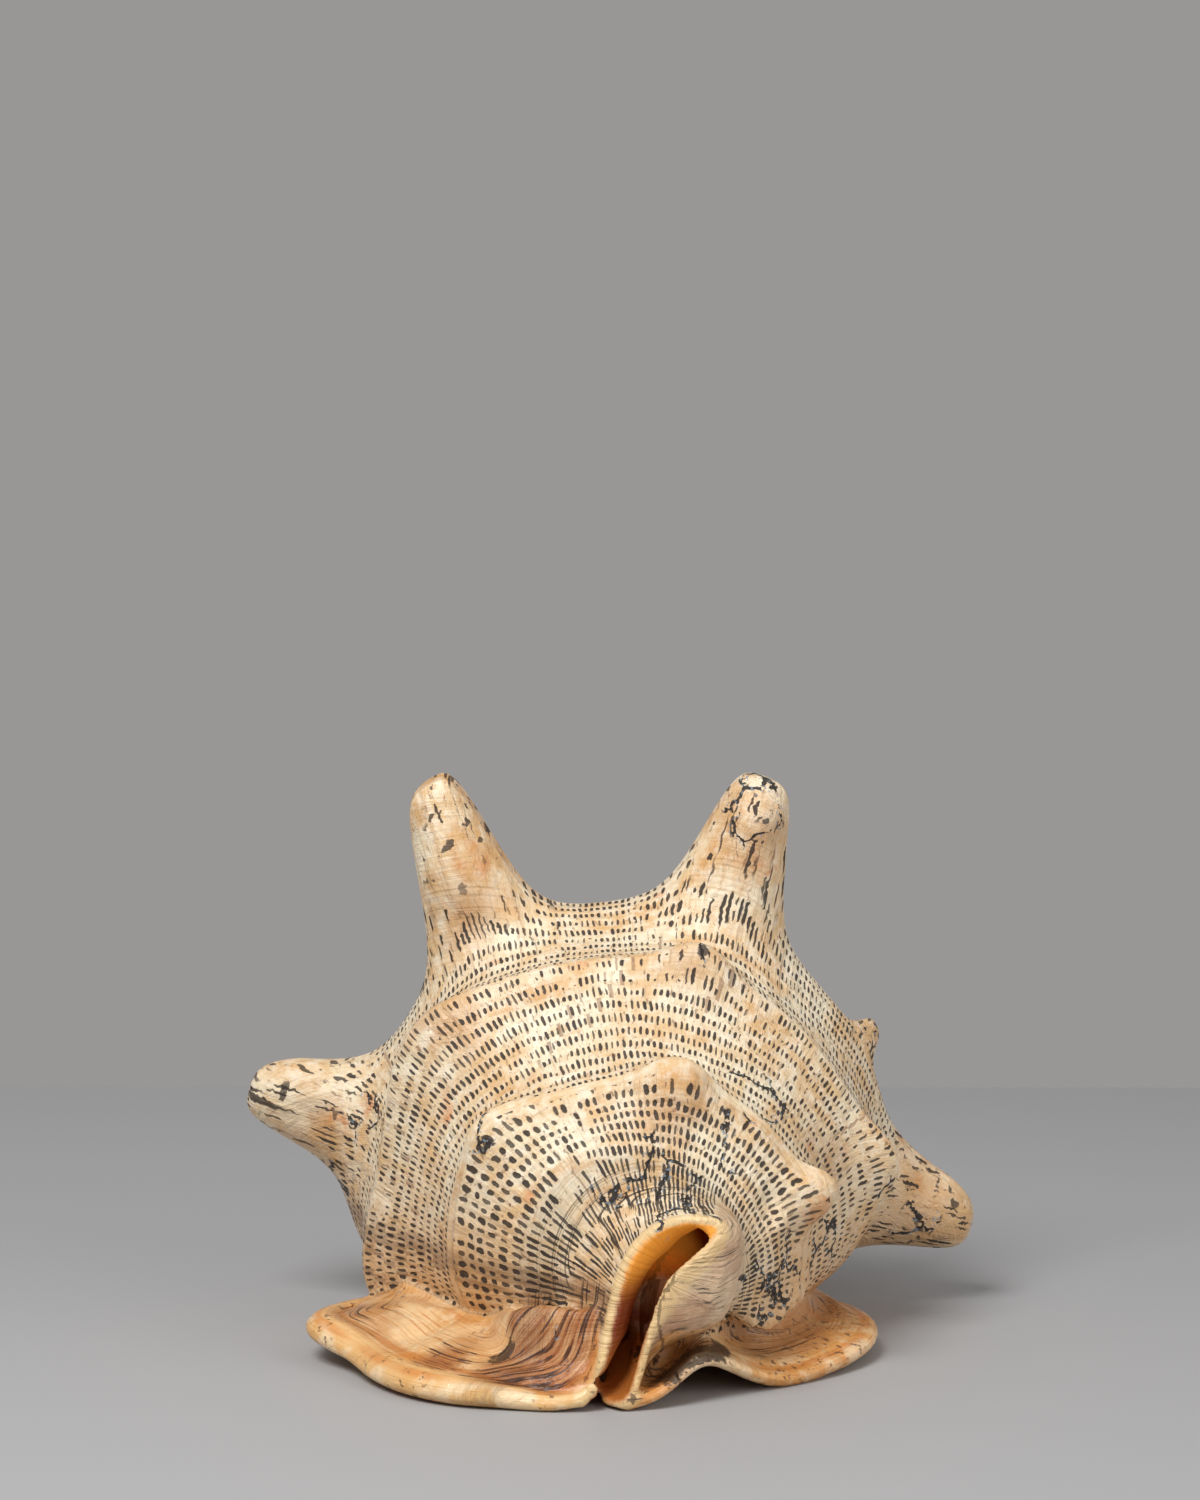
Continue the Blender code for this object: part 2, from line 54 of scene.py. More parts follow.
# Stations from the canal to the spire: distance along the growth lines, centre, tilt, and the
# radii at every 30 degrees, seen from the front with 0 at the right and 90 at the top, in mm.
STATIONS = (
    (8, (14, -90, 32), 0, (17, 23, 28, 23.5, 17, 15, 15, 18, 24, 18, 14, 14)),
    (20, (13, -80, 34), 3, (22, 27, 27.5, 24.5, 23, 22, 22, 24, 28, 22, 18, 19)),
    (38, (11, -67, 38), 6, (34, 33, 33, 35, 37, 38, 38, 38, 36, 30, 28, 33)),
    (70, (8, -45, 42), 13, (51, 52, 52, 51, 52, 56, 57, 57, 45, 38, 41, 52)),
    (95, (6.5, -22, 46), 13, (65, 63, 62, 62, 63, 66, 67, 70, 52, 42, 45, 62)),
    (120, (5, 0, 50), 13, (78, 75, 75, 75, 77, 80, 79, 88, 56, 44, 48, 70)),
    (142, (4, 22, 55), 13, (82, 79, 76, 75, 76, 79, 82, 90, 60, 48, 52, 73)),
    (166, (3, 45, 60), 13, (86, 83, 78, 77, 76, 78, 85, 90, 63, 53, 66, 84)),
    (192, (3, 61, 63.7), 13, (64, 64, 62, 60, 60, 62, 64, 62, 56, 54, 58, 62)),
    (222, (3, 76, 67.1), 13, (35, 35, 35, 34, 34, 34, 34, 34, 34, 34, 34, 34)),
    (262, (3, 93, 71), 13, (0, 0, 0, 0, 0, 0, 0, 0, 0, 0, 0, 0)),
)
KEEL_3_ALONG = 70.0
KEEL_2_ALONG = 120.0
SHOULDER_ALONG = 166.0
SPIRE_TIP_ALONG = 262.0

# Where the rolled sheet ends at the lip and inside the shield, in degrees.
EDGE_ALONG = (8, 20, 38, 70, 120, 142, 160, 262)
LIP_EDGE_ANGLE = (230, 227, 225, 228, 229, 234, 250, 250)
SHIELD_EDGE_ANGLE = (-10, -30, -62, -80, -95, -103, -125, -125)
WALL_ALONG = (8, 30, 70, 166, 215, 262)
WALL_THICKNESS = (2.4, 4.5, 6.5, 8, 9, 9)
CHAMBER_STOP = 26.0

# Keels: distance along, ridge height, and knobs as angle, height and half-width in degrees.
KEELS = (
    (KEEL_3_ALONG, 2.6, ((139, 4.5, 14), (77, 5.0, 11), (15, 9.0, 9))),
    (KEEL_2_ALONG, 2.8, ((143, 3.8, 15), (74, 8.0, 9), (5, 8.5, 10), (205, 2.0, 8))),
)
KEEL_HALF_WIDTH = 5.5
KEEL_MIDDLE = 100.0
KEEL_FADE = 115.0
KNOB_HALF_LENGTH = 9.0

# Horns of the shoulder: angle, tip, half-width of the shaft, half-width of the flared foot.
HORNS = (
    (177, (-120, 44, 74), 14.0, 28),
    (125, (-60, 19, 177.5), 14.5, 28),
    (66, (50, 19, 180), 15.0, 28),
    (21, (88, 50, 94), 5.5, 12),
    (-13, (120, 54, 26), 15.5, 24),
)
HORN_FLARE = 0.13
HORN_BLUNTNESS = 5.2

# The spire's whorls: widening in a turn, a suture's radius at angle 0, relief as a share of the
# radius and at most, and the knobs' count, place and half-width as shares of a whorl.
WHORL_GROWTH = 1.85
SUTURE_RADIUS = 38.0
SUTURE_SHARE = 0.14
WHORL_RELIEF = 0.12
WHORL_RELIEF_MOST = 5.5
WHORL_KNOBS = 9
WHORL_KNOB_PLACE = 0.72
WHORL_KNOB_HALF = 0.16
SPIRE_OUTER_RADIUS = 82.0
SPIRE_FADE = 12.0

BODY_ROWS = 240
BODY_COLUMNS = 360


def spline(keys, values, at):
    """A natural cubic spline through values at keys, along the first axis."""
    keys = np.asarray(keys, float)
    values = np.asarray(values, float)
    flat = values.reshape(len(keys), -1)
    step = np.diff(keys)
    slope = np.diff(flat, axis=0) / step[:, None]
    matrix = np.eye(len(keys))
    right = np.zeros(flat.shape)
    for i in range(1, len(keys) - 1):
        matrix[i, i - 1 : i + 2] = (step[i - 1], 2 * (step[i - 1] + step[i]), step[i])
        right[i] = 3 * (slope[i] - slope[i - 1])
    bend = np.linalg.solve(matrix, right)
    at = np.clip(np.atleast_1d(np.asarray(at, float)), keys[0], keys[-1])
    cell = np.clip(np.searchsorted(keys, at, side="right") - 1, 0, len(keys) - 2)
    x = (at - keys[cell])[:, None]
    width = step[cell][:, None]
    rise = slope[cell] - width * (2 * bend[cell] + bend[cell + 1]) / 3
    curve = (bend[cell + 1] - bend[cell]) / (3 * width)
    read = flat[cell] + x * (rise + x * (bend[cell] + x * curve))
    return read.reshape((len(at),) + values.shape[1:])


def bump(distance, half_width):
    return np.exp(-((distance / half_width) ** 2))


def angle_between(a, b):
    return (a - b + 180) % 360 - 180


def outward(angles, tilt):
    """Unit vectors away from the axis, for angles and tilts in degrees."""
    turn = np.radians(angles)
    lean = np.radians(tilt) + 0 * turn
    return np.stack(
        [np.cos(turn), -np.sin(turn) * np.sin(lean), np.sin(turn) * np.cos(lean)], axis=-1
    )


def plain_wall(along, angles, inset=0):
    """Points and radii of the wall without its relief, for one row of angles per distance."""
    ring_angles = np.arange(-360, 720, RING_STEP)
    table = np.array([radii * 3 for _, _, _, radii in STATIONS], float)
    stations = [station[0] for station in STATIONS]
    round_ring = spline(ring_angles, table.T, np.mod(angles, 360).ravel())
    round_ring = round_ring.reshape(*angles.shape, len(stations))
    radii = np.array([spline(stations, row.T, at)[0] for row, at in zip(round_ring, along)])
    centre = spline(stations, [station[1] for station in STATIONS], along)
    tilt = spline(stations, [station[2] for station in STATIONS], along)
    reach = np.maximum(radii - inset, 0)
    points = centre[:, None, :] + reach[..., None] * outward(angles, tilt[:, None])
    return points, radii


def keel_height(along, angles):
    """How far the keels and their knobs stand out of the wall."""
    height = np.zeros(angles.shape)
    fade = bump(angle_between(angles, KEEL_MIDDLE), KEEL_FADE)
    for keel_along, ridge, knobs in KEELS:
        off = (along - keel_along)[:, None]
        height += ridge * bump(off, KEEL_HALF_WIDTH) * fade
        for knob_angle, knob_height, half_width in knobs:
            off_angle = angle_between(angles, knob_angle)
            height += knob_height * bump(off, KNOB_HALF_LENGTH) * bump(off_angle, half_width)
    return height


def spire_height(along, angles, radii):
    """How far the spire's whorls stand out: each one rises outwards and drops at its suture."""
    turns = np.log(np.maximum(radii, 1) / SUTURE_RADIUS) / math.log(WHORL_GROWTH) - angles / 360
    share = np.mod(turns, 1)
    rise = (share + 0.4 * np.sin(math.pi * share)) * np.clip((1 - share) / SUTURE_SHARE, 0, 1)
    wave = 0.5 + 0.5 * np.cos(np.radians(angles * WHORL_KNOBS))
    knobs = wave * bump(share - WHORL_KNOB_PLACE, WHORL_KNOB_HALF)
    fade = np.clip((SPIRE_OUTER_RADIUS - radii) / SPIRE_FADE, 0, 1)
    fade = fade * (along > SHOULDER_ALONG)[:, None]
    return fade * np.minimum(radii * WHORL_RELIEF, WHORL_RELIEF_MOST) * (rise + knobs)


def horn_reach(along, angles):
    """How the horns pull the wall out, as vectors: blunt shafts on flared feet."""
    pulled = np.zeros(angles.shape + (3,))
    for horn_angle, tip, shaft, foot in HORNS:
        root, radius = plain_wall([SHOULDER_ALONG], np.array([[float(horn_angle)]]))
        arc = np.radians(angle_between(angles, horn_angle)) * radius[0, 0]
        distance = np.hypot(arc, (along - SHOULDER_ALONG)[:, None])
        share = HORN_FLARE * bump(distance, foot)
        share += (1 - HORN_FLARE) / (1 + (distance / shaft) ** HORN_BLUNTNESS)
        pulled += share[..., None] * (np.array(tip, float) - root[0, 0])
    return pulled


def outer_wall(along, angles):
    points, radii = plain_wall(along, angles)
    tilt = math.radians(AXIS_TILT)
    axis = np.array([0, math.cos(tilt), math.sin(tilt)])
    points += outward(angles, AXIS_TILT) * keel_height(along, angles)[..., None]
    points += axis * spire_height(along, angles, radii)[..., None]
    return points + horn_reach(along, angles)


def inner_wall(along, angles):
    """The chamber's side of the wall, which stops well short of the spire's tip."""
    thickness = np.interp(along, WALL_ALONG, WALL_THICKNESS)[:, None]
    points, _ = plain_wall(along, angles, thickness)
    stop = np.clip((along - SHOULDER_ALONG) / (SPIRE_TIP_ALONG - SHOULDER_ALONG), 0, 1)
    points[..., 1] -= CHAMBER_STOP * stop[:, None]
    return points


def sheet(name, points):
    """A grid primitive with its corners moved onto rows of points."""
    rows, columns = points.shape[:2]
    bpy.ops.object.select_all(action="DESELECT")
    bpy.ops.mesh.primitive_grid_add(x_subdivisions=columns - 1, y_subdivisions=rows - 1)
    made = bpy.context.object
    made.name = name
    placed = (points + (0, CENTRING, 0)) * MM
    made.data.vertices.foreach_set("co", placed.ravel())
    made.data.update()
    return made


def rolled_solid(name, rings):
    """A closed solid through rings of points: its seam is merged and its ends are filled."""
    made = sheet(name, np.concatenate([rings, rings[:, :1]], axis=1))
    bpy.ops.object.mode_set(mode="EDIT")
    bpy.ops.mesh.select_all(action="SELECT")
    bpy.ops.mesh.remove_doubles(threshold=0.00001)
    bpy.ops.mesh.fill_holes(sides=0)
    bpy.ops.mesh.select_all(action="SELECT")
    bpy.ops.mesh.normals_make_consistent(inside=False)
    bpy.ops.object.mode_set(mode="OBJECT")
    return made


body_along = np.linspace(STATIONS[0][0], SPIRE_TIP_ALONG, BODY_ROWS)
lip_edge = np.interp(body_along, EDGE_ALONG, LIP_EDGE_ANGLE)[:, None]
shield_edge = np.interp(body_along, EDGE_ALONG, SHIELD_EDGE_ANGLE)[:, None]
body_angles = lip_edge + (shield_edge - lip_edge) * np.linspace(0, 1, BODY_COLUMNS)
body_outside = outer_wall(body_along, body_angles)
body_inside = inner_wall(body_along, body_angles)
body = rolled_solid("body_whorl", np.concatenate([body_outside, body_inside[:, ::-1]], axis=1))

# Lip and shield.
# In its last growth stage the animal spreads thick smooth callus over both sides of the aperture:
# the outer lip rolls over into a flange, and the shield spreads across the body's right side.

# Each section has its rim (x, y), inward direction, the rim's lowest height and thickness, the
# width and inner height of its shelf, the height of the wall behind the shelf, and its depth.
LIP_SECTIONS = (
    ((-7, -98.5), 78, 2.5, 4, 6, 15, 30, 16),
    ((-12, -99), 82, 0.6, 4.5, 8, 14, 28, 20),
    ((-21, -98.5), 86, -0.6, 5.5, 12, 12, 28, 28),
    ((-34, -96.5), 84, -0.8, 8, 20, 12, 24, 37),
    ((-48, -93), 72, -0.8, 9, 32, 13, 20, 46),
    ((-64, -82), 55, -0.6, 9.5, 33, 14, 17, 46),
    ((-76, -65), 40, 0.2, 9, 31, 15, 17, 48),
    ((-83, -51), 22, 2.0, 8.5, 28, 15, 17, 48),
    ((-92, -41), 12, 4.0, 9.5, 28, 15, 17, 54),
    ((-97, -29), 2, 5.5, 9, 25, 16, 17, 60),
    ((-93, -12), -8, 5.5, 8, 18, 15, 18, 58),
    ((-84, 8), -18, 3.5, 8, 12, 15, 22, 52),
    ((-77, 28), -28, 0.5, 8, 9, 14, 26, 46),
    ((-65, 48), -50, -0.8, 9, 8, 15, 28, 42),
    ((-45, 62), -68, -0.8, 10, 7, 17, 30, 36),
    ((-22, 70), -85, 1.0, 12, 6, 18, 30, 30),
)
SHIELD_SECTIONS = (
    ((4, -97.5), 84, -0.8, 5, 6, 6, 14, 26),
    ((9, -96.5), 88, 0.6, 4.5, 15, 6, 15, 30),
    ((17, -94), 92, 4.0, 4, 21, 8, 17, 36),
    ((26, -89), 98, 10.0, 4.5, 18, 14.8, 24, 44),
    ((34, -83), 104, 9.0, 5, 14, 17, 30, 52),
    ((44, -75), 112, 3.0, 5.5, 14, 13, 32, 60),
    ((56, -66), 122, -0.8, 6, 16, 10.5, 34, 64),
    ((70, -53), 142, 0.0, 6.5, 20, 11, 36, 66),
    ((81, -37), 162, 1.5, 7, 22, 12, 38, 66),
    ((85, -18), 178, 2.5, 7, 20, 12.5, 40, 64),
    ((83, 3), 190, 2.0, 7, 17, 13, 42, 58),
    ((76, 26), 202, 0.5, 7, 13, 14, 44, 52),
    ((61, 48), 222, -0.8, 8, 9, 16, 42, 46),
    ((38, 63), 244, -0.8, 9, 7, 17, 34, 44),
    ((8, 71), 262, 1.0, 12, 6, 18, 30, 44),
    ((-22, 70), 280, 1.0, 12, 6, 18, 30, 34),
)
LIP_INNER_HEIGHT = 14.0
SHIELD_INNER_HEIGHT = 40.0
FLANGE_WALL_RUN = 12.0
FLANGE_INNER_LIFT = 4.0
FLANGE_ROWS = 300
FLANGE_COLUMNS = 90
# The point of the rim and the last point of each outline, counted from 0.
FLANGE_RIM_POINT = 5
FLANGE_LAST_POINT = 12


def flange_outline(rim, inward, low, thick, shelf, shelf_height, wall, depth, inner_height):
    """A flange's closed outline across its rim, from its inner underside round to its top."""
    high = low + thick
    half = thick / 2
    under = max(low, 0)
    run = min(FLANGE_WALL_RUN, 0.7 * (depth - shelf))
    across = (
        (depth, under + FLANGE_INNER_LIFT),
        (depth * 0.7, under + FLANGE_INNER_LIFT / 2),
        (depth * 0.4, low + 0.5),
        (thick, low),
        (half * 0.5, low + half * 0.35),
        (0, low + half),
        (half * 0.5, high - half * 0.35),
        (thick, high),
        (max(shelf * 0.6, thick + 1), (high + shelf_height) / 2 - 0.5),
        (shelf + 2, shelf_height),
        (shelf + run * 0.5, shelf_height * 0.4 + wall * 0.6),
        (shelf + run, wall),
        (depth, min(inner_height, wall + 2)),
    )
    turn = math.radians(inward)
    return [
        (rim[0] + width * math.cos(turn), rim[1] + width * math.sin(turn), height)
        for width, height in across
    ]


def flange_rings(sections, inner_height):
    """Rings of points round a flange, one for each place along its rim."""
    outlines = [flange_outline(*section, inner_height) for section in sections]
    at = np.linspace(0, len(sections) - 1, FLANGE_ROWS)
    coarse = spline(range(len(sections)), outlines, at)
    keys = range(coarse.shape[1])
    fine = np.linspace(0, coarse.shape[1] - 1, FLANGE_COLUMNS)
    return np.array([spline(keys, ring, fine) for ring in coarse])


lip_rings = flange_rings(LIP_SECTIONS, LIP_INNER_HEIGHT)
lip = rolled_solid("lip", lip_rings)
shield_rings = flange_rings(SHIELD_SECTIONS, SHIELD_INNER_HEIGHT)
shield = rolled_solid("shield", shield_rings)

# Columella.
# The pillar of solid callus that the whorls turn round. It shows through the aperture.

# Its line from the canal to the spire: centre, and half-sizes across and upright.
COLUMELLA = (
    ((15, -70, 26), (10, 11)),
    ((14, -58, 25), (15, 18)),
    ((12, -30, 27), (24, 23)),
    ((14, 0, 31), (32, 27)),
    ((14, 30, 42), (34, 36)),
    ((8, 60, 56), (34, 36)),
)
COLUMELLA_ROWS = 60
COLUMELLA_COLUMNS = 80

columella_at = np.linspace(0, len(COLUMELLA) - 1, COLUMELLA_ROWS)
columella_keys = range(len(COLUMELLA))
columella_centre = spline(columella_keys, [centre for centre, _ in COLUMELLA], columella_at)
columella_half = spline(columella_keys, [half for _, half in COLUMELLA], columella_at)
columella_turn = np.linspace(0, 2 * math.pi, COLUMELLA_COLUMNS, endpoint=False)
columella_rings = np.repeat(columella_centre[:, None, :], COLUMELLA_COLUMNS, axis=1)
columella_rings[..., 0] += columella_half[:, :1] * np.cos(columella_turn)
columella_rings[..., 2] += columella_half[:, 1:] * np.sin(columella_turn)
columella = rolled_solid("columella", columella_rings)

# Siphonal canal.
# The animal's breathing siphon lay in this curled gutter. It is one thin sheet that rolls from
# the lip over the top and down the right to a tongue on the ground, with its edge left open.

# Each section has its place along Y and its points (x, z) from the lip to the tongue.
CANAL_SECTIONS = (
    (-98, ((-9, 1.5), (-4, 10), (-1.2, 22), (1.4, 34), (5, 45), (12, 53), (22.5, 56.5),
           (32, 55), (28, 49), (19.5, 42), (14.3, 34), (11.5, 24), (8.8, 14), (6, 5), (2.5, 1.8))),
    (-92, ((-12, 1.5), (-6, 11), (-2.8, 23), (0.2, 35), (4.8, 46), (12.5, 54), (23.5, 57.5),
           (36, 54), (36.5, 45), (32, 35.5), (24, 26.5), (13, 20), (8.6, 11.5), (4, 3.5), (-2.5, 2))),
    (-85, ((-16, 2), (-10.5, 12), (-6.5, 24), (-3, 36), (3, 47), (12, 55), (24.5, 58.5),
           (36.5, 53.5), (38, 43.5), (36, 32.5), (30, 23.5), (17, 18.5), (9.5, 11.5), (4, 6), (-3, 3.5))),
    (-77, ((-19, 4), (-14, 14), (-9.5, 26), (-5.5, 38), (1.5, 49), (12, 56.5), (25, 59),
           (36, 54), (38, 43), (35, 31), (28, 23), (16, 18), (12, 14), (5, 10), (-2, 7))),
    (-68, ((-20, 10), (-16, 19), (-9, 29), (-4, 40), (4, 50), (14, 56), (25, 58),
           (37, 54), (40, 43), (37, 31), (29, 23), (17, 18), (13, 17), (5, 14), (-2, 11))),
)
CANAL_THICKNESS = 2.8
CANAL_LEAN = 0.14
CANAL_ROWS = 50
CANAL_COLUMNS = 180
# The point of the top and the last point of each section, counted from 0.
CANAL_TOP_POINT = 6
CANAL_LAST_POINT = 14

# Behind its rim the canal's left wall and roof thicken inwards: distances behind the rim, the
# thickness there, and how the thickness runs out towards the ends of each section.
LINING_BEHIND = (0, 4, 12, 20, 30)
LINING_THICKNESS = (1.6, 5, 11, 11, 3)
LINING_POINTS = (0, 1, 2, 5, 6, 7)
LINING_SHARE = (0, 0.5, 1, 1, 0.7, 0)
LINING_COLUMNS = 80


def canal_sheet(columns, last):
    """Rows of points of the canal's sheet, from the rim back, up to one of its section's points."""
    places = [place for place, _ in CANAL_SECTIONS]
    y = np.linspace(places[0], places[-1], CANAL_ROWS)
    sections = spline(places, [points for _, points in CANAL_SECTIONS], y)
    at = np.linspace(0, last, columns)
    points = np.empty((CANAL_ROWS, columns, 3))
    points[..., [0, 2]] = [spline(range(sections.shape[1]), section, at) for section in sections]
    points[..., 1] = y[:, None] + CANAL_LEAN * points[..., 2]
    return points, at


lining_points, lining_at = canal_sheet(LINING_COLUMNS, LINING_POINTS[-1])
lining_behind = lining_points[:, 0, 1] - lining_points[0, 0, 1]
lining_depth = np.interp(lining_behind, LINING_BEHIND, LINING_THICKNESS)[:, None]
lining_depth = lining_depth * np.interp(lining_at, LINING_POINTS, LINING_SHARE)
lining_run = np.gradient(lining_points, axis=1)
lining_inward = np.stack([lining_run[..., 2], 0 * lining_run[..., 0], -lining_run[..., 0]], axis=-1)
lining_inward /= np.linalg.norm(lining_inward, axis=-1, keepdims=True)
lining_face = lining_points + lining_inward * lining_depth[..., None]
lining = rolled_solid("lining", np.concatenate([lining_points, lining_face[:, ::-1]], axis=1))

canal_points, _ = canal_sheet(CANAL_COLUMNS, CANAL_LAST_POINT)
canal = sheet("canal", canal_points)
canal_wall = canal.modifiers.new("wall", "SOLIDIFY")
canal_wall.thickness = CANAL_THICKNESS * MM
canal_wall.offset = 0
bpy.ops.object.modifier_apply(modifier="wall")

# Inner edge of the lip.
# Beside the slit of the aperture the lip ends in a rounded roll, with blunt teeth of callus
# across it.

LIP_ROLL = (
    (-19, -79, 10), (-26, -64, 9), (-31, -48, 10), (-34, -28, 10.5), (-34.5, -5, 11),
    (-33, 14, 11.5), (-27, 30, 13), (-14, 40, 16),
)
LIP_ROLL_RADIUS = 6.0
TOOTH_COUNT = 8
TOOTH_START = -50.0
TOOTH_PITCH = 9.2
TOOTH_Z = 7.5
TOOTH_HALF = (9.5, 2.6, 5.0)

roll_curve = bpy.data.curves.new("lip_roll", "CURVE")
roll_curve.dimensions = "3D"
roll_curve.bevel_depth = LIP_ROLL_RADIUS * MM
roll_curve.bevel_resolution = 8
roll_curve.use_fill_caps = True
roll_line = roll_curve.splines.new("NURBS")
roll_line.points.add(len(LIP_ROLL) - 1)
for point, (x, y, z) in zip(roll_line.points, LIP_ROLL):
    point.co = (x * MM, (y + CENTRING) * MM, z * MM, 1)
roll_line.use_endpoint_u = True
roll_line.order_u = 4
roll_line.resolution_u = 12
lip_roll = bpy.data.objects.new("lip_roll", roll_curve)
bpy.context.scene.collection.objects.link(lip_roll)
bpy.ops.object.select_all(action="DESELECT")
lip_roll.select_set(True)
bpy.context.view_layer.objects.active = lip_roll
bpy.ops.object.convert(target="MESH")
lip_roll = bpy.context.object

teeth = []
for i in range(TOOTH_COUNT):
    y = TOOTH_START + i * TOOTH_PITCH
    x = np.interp(y, [place[1] for place in LIP_ROLL], [place[0] for place in LIP_ROLL])
    bpy.ops.object.select_all(action="DESELECT")
    bpy.ops.mesh.primitive_uv_sphere_add(segments=32, ring_count=20, radius=MM)
    bpy.ops.object.mode_set(mode="EDIT")
    bpy.ops.transform.resize(value=TOOTH_HALF)
    bpy.ops.transform.translate(value=(x * MM, (y + CENTRING) * MM, TOOTH_Z * MM))
    bpy.ops.object.mode_set(mode="OBJECT")
    tooth = bpy.context.object
    tooth.name = f"tooth_{i}"
    teeth.append(tooth)

# The whole shell.
# All of this is one piece of shell: the growth stages are fused into one skin, whose creases
# are eased as the callus fills them, and its underside is worn flat where it stands.

SKIN_VOXEL = 1.3
SKIN_EASE = 3
FINISHED_TRIANGLES = 190000

bpy.ops.object.select_all(action="DESELECT")
for part in (body, lip, shield, columella, canal, lining, lip_roll, *teeth):
    part.select_set(True)
bpy.context.view_layer.objects.active = body
bpy.ops.object.join()
shell = bpy.context.object
shell.name = "conch_shell"
fuse = shell.modifiers.new("fuse", "REMESH")
fuse.mode = "VOXEL"
fuse.voxel_size = SKIN_VOXEL * MM
bpy.ops.object.modifier_apply(modifier="fuse")
ease = shell.modifiers.new("ease", "SMOOTH")
ease.factor = 0.5
ease.iterations = SKIN_EASE
bpy.ops.object.modifier_apply(modifier="ease")

# Growth coordinates.
# Every mark on the real shell follows how it grew, so each corner of the skin is told where it
# lies on the rolled sheet, and how near it is to the callus, to the chamber and to the canal.

LINE_TURN = (-140, 110, 145, 260)
LINE_PITCH = (2.7, 2.7, 3.7, 3.7)
GUTTER_DEPTH = 13.0
EAR_HEIGHTS = (0, 14, 24, 34, 42, 49, 55)
EAR_LEFT = (8, 10.5, 13, 16, 21, 29, 35)
EAR_BACK = -84.0


def face_grid(points):
    """A tree for finding the nearest place on a grid of points, with its corners."""
    rows, columns = points.shape[:2]
    first = (np.arange(rows - 1)[:, None] * columns + np.arange(columns - 1)).ravel()
    quads = np.stack([first, first + 1, first + columns + 1, first + columns], axis=1)
    flat = points.reshape(-1, 3)
    return BVHTree.FromPolygons(flat.tolist(), quads.tolist()), flat, columns


def nearest_on(grid, places):
    """Distance, row and column, in fractions, and the nearest point of a grid to each place."""
    tree, flat, columns = grid
    found = [tree.find_nearest(place) for place in places.tolist()]
    spot = np.array([hit[0] for hit in found])
    face = np.array([hit[2] for hit in found])
    away = np.array([hit[3] for hit in found])
    row, column = np.divmod(face, columns - 1)
    corner = row * columns + column
    shares = []
    for step in (columns, 1):
        edge = flat[corner + step] - flat[corner]
        length = np.maximum((edge**2).sum(axis=1), 1e-9)
        shares.append(np.clip(((spot - flat[corner]) * edge).sum(axis=1) / length, 0, 1))
    return away, row + shares[0], column + shares[1], spot


def skin_places():
    """The skin's corners and their normals, in millimetres, in the frame of the sections."""
    count = len(shell.data.vertices)
    places = np.empty(count * 3, dtype=np.float32)
    normals = np.empty(count * 3, dtype=np.float32)
    shell.data.vertices.foreach_get("co", places)
    shell.data.vertices.foreach_get("normal", normals)
    return places.reshape(-1, 3) / MM - (0, CENTRING, 0), normals.reshape(-1, 3).astype(float)


def ramp(values, low, high):
    """0 at low, 1 at high, and a smooth rise between them."""
    share = np.clip((values - low) / (high - low), 0, 1)
    return share * share * (3 - 2 * share)


def growth_of(places, normals):
    """Where each place lies on the growth stages."""
    found = {}
    away, row, column, _ = nearest_on(outside_grid, places)
    found["rows"] = np.interp(row, range(BODY_ROWS), body_along)
    start = np.interp(row, range(BODY_ROWS), lip_edge[:, 0])
    end = np.interp(row, range(BODY_ROWS), shield_edge[:, 0])
    found["turn"] = start + (end - start) * column / (BODY_COLUMNS - 1)
    found["outside"] = away
    found["chamber"] = nearest_on(inside_grid, places)[0]
    found["lip"], _, column, _ = nearest_on(lip_grid, places)
    found["lip_across"] = column / (FLANGE_COLUMNS - 1) * FLANGE_LAST_POINT
    found["shield"] = nearest_on(shield_grid, places)[0]
    away, row, column, spot = nearest_on(canal_grid, places)
    found["canal"] = away
    found["canal_rim"] = row / (CANAL_ROWS - 1) * (CANAL_SECTIONS[-1][0] - CANAL_SECTIONS[0][0])
    found["columella"] = nearest_on(columella_grid, places)[0]
    facing = canal_inward[np.round(row).astype(int), np.round(column).astype(int)]
    side = ((places - spot) * facing).sum(axis=1)
    turned = (normals * facing).sum(axis=1)
    ear_left = np.interp(places[:, 2], EAR_HEIGHTS, EAR_LEFT)
    behind_ear = ramp(places[:, 1], EAR_BACK - 1, EAR_BACK + 1)
    left_of_ear = np.maximum(ramp(ear_left - places[:, 0], -0.5, 0.5), behind_ear)
    in_gutter = ramp(side, 0.4, 1.2) * ramp(away, GUTTER_DEPTH, GUTTER_DEPTH - 2)
    found["gutter"] = in_gutter * ramp(turned, -0.3, 0.1) * left_of_ear
    on_ear = ramp(places[:, 0] - ear_left, -4, -2) * ramp(places[:, 1], -70, -75)
    found["ear"] = ramp(away, 4.5, 3.0) * on_ear * (1 - found["gutter"])
    return found


outside_grid = face_grid(body_outside)
inside_grid = face_grid(body_inside)
lip_grid = face_grid(lip_rings)
shield_grid = face_grid(shield_rings)
canal_grid = face_grid(canal_points)
columella_grid = face_grid(columella_rings)
canal_run = np.gradient(canal_points, axis=1)
canal_inward = np.stack([canal_run[..., 2], 0 * canal_run[..., 0], -canal_run[..., 0]], axis=-1)
canal_inward /= np.linalg.norm(canal_inward, axis=-1, keepdims=True)

# Wear, and the last touches of the skin.
# Knobs swell, the crusty edge of the body hangs over the callus on the right, a groove runs behind
# the lip's rolled rim, and the underside is worn flat where the shell stands.

thin = shell.modifiers.new("thin", "DECIMATE")
triangles = sum(len(face.vertices) - 2 for face in shell.data.polygons)
thin.ratio = min(1, FINISHED_TRIANGLES / triangles)
bpy.ops.object.modifier_apply(modifier="thin")

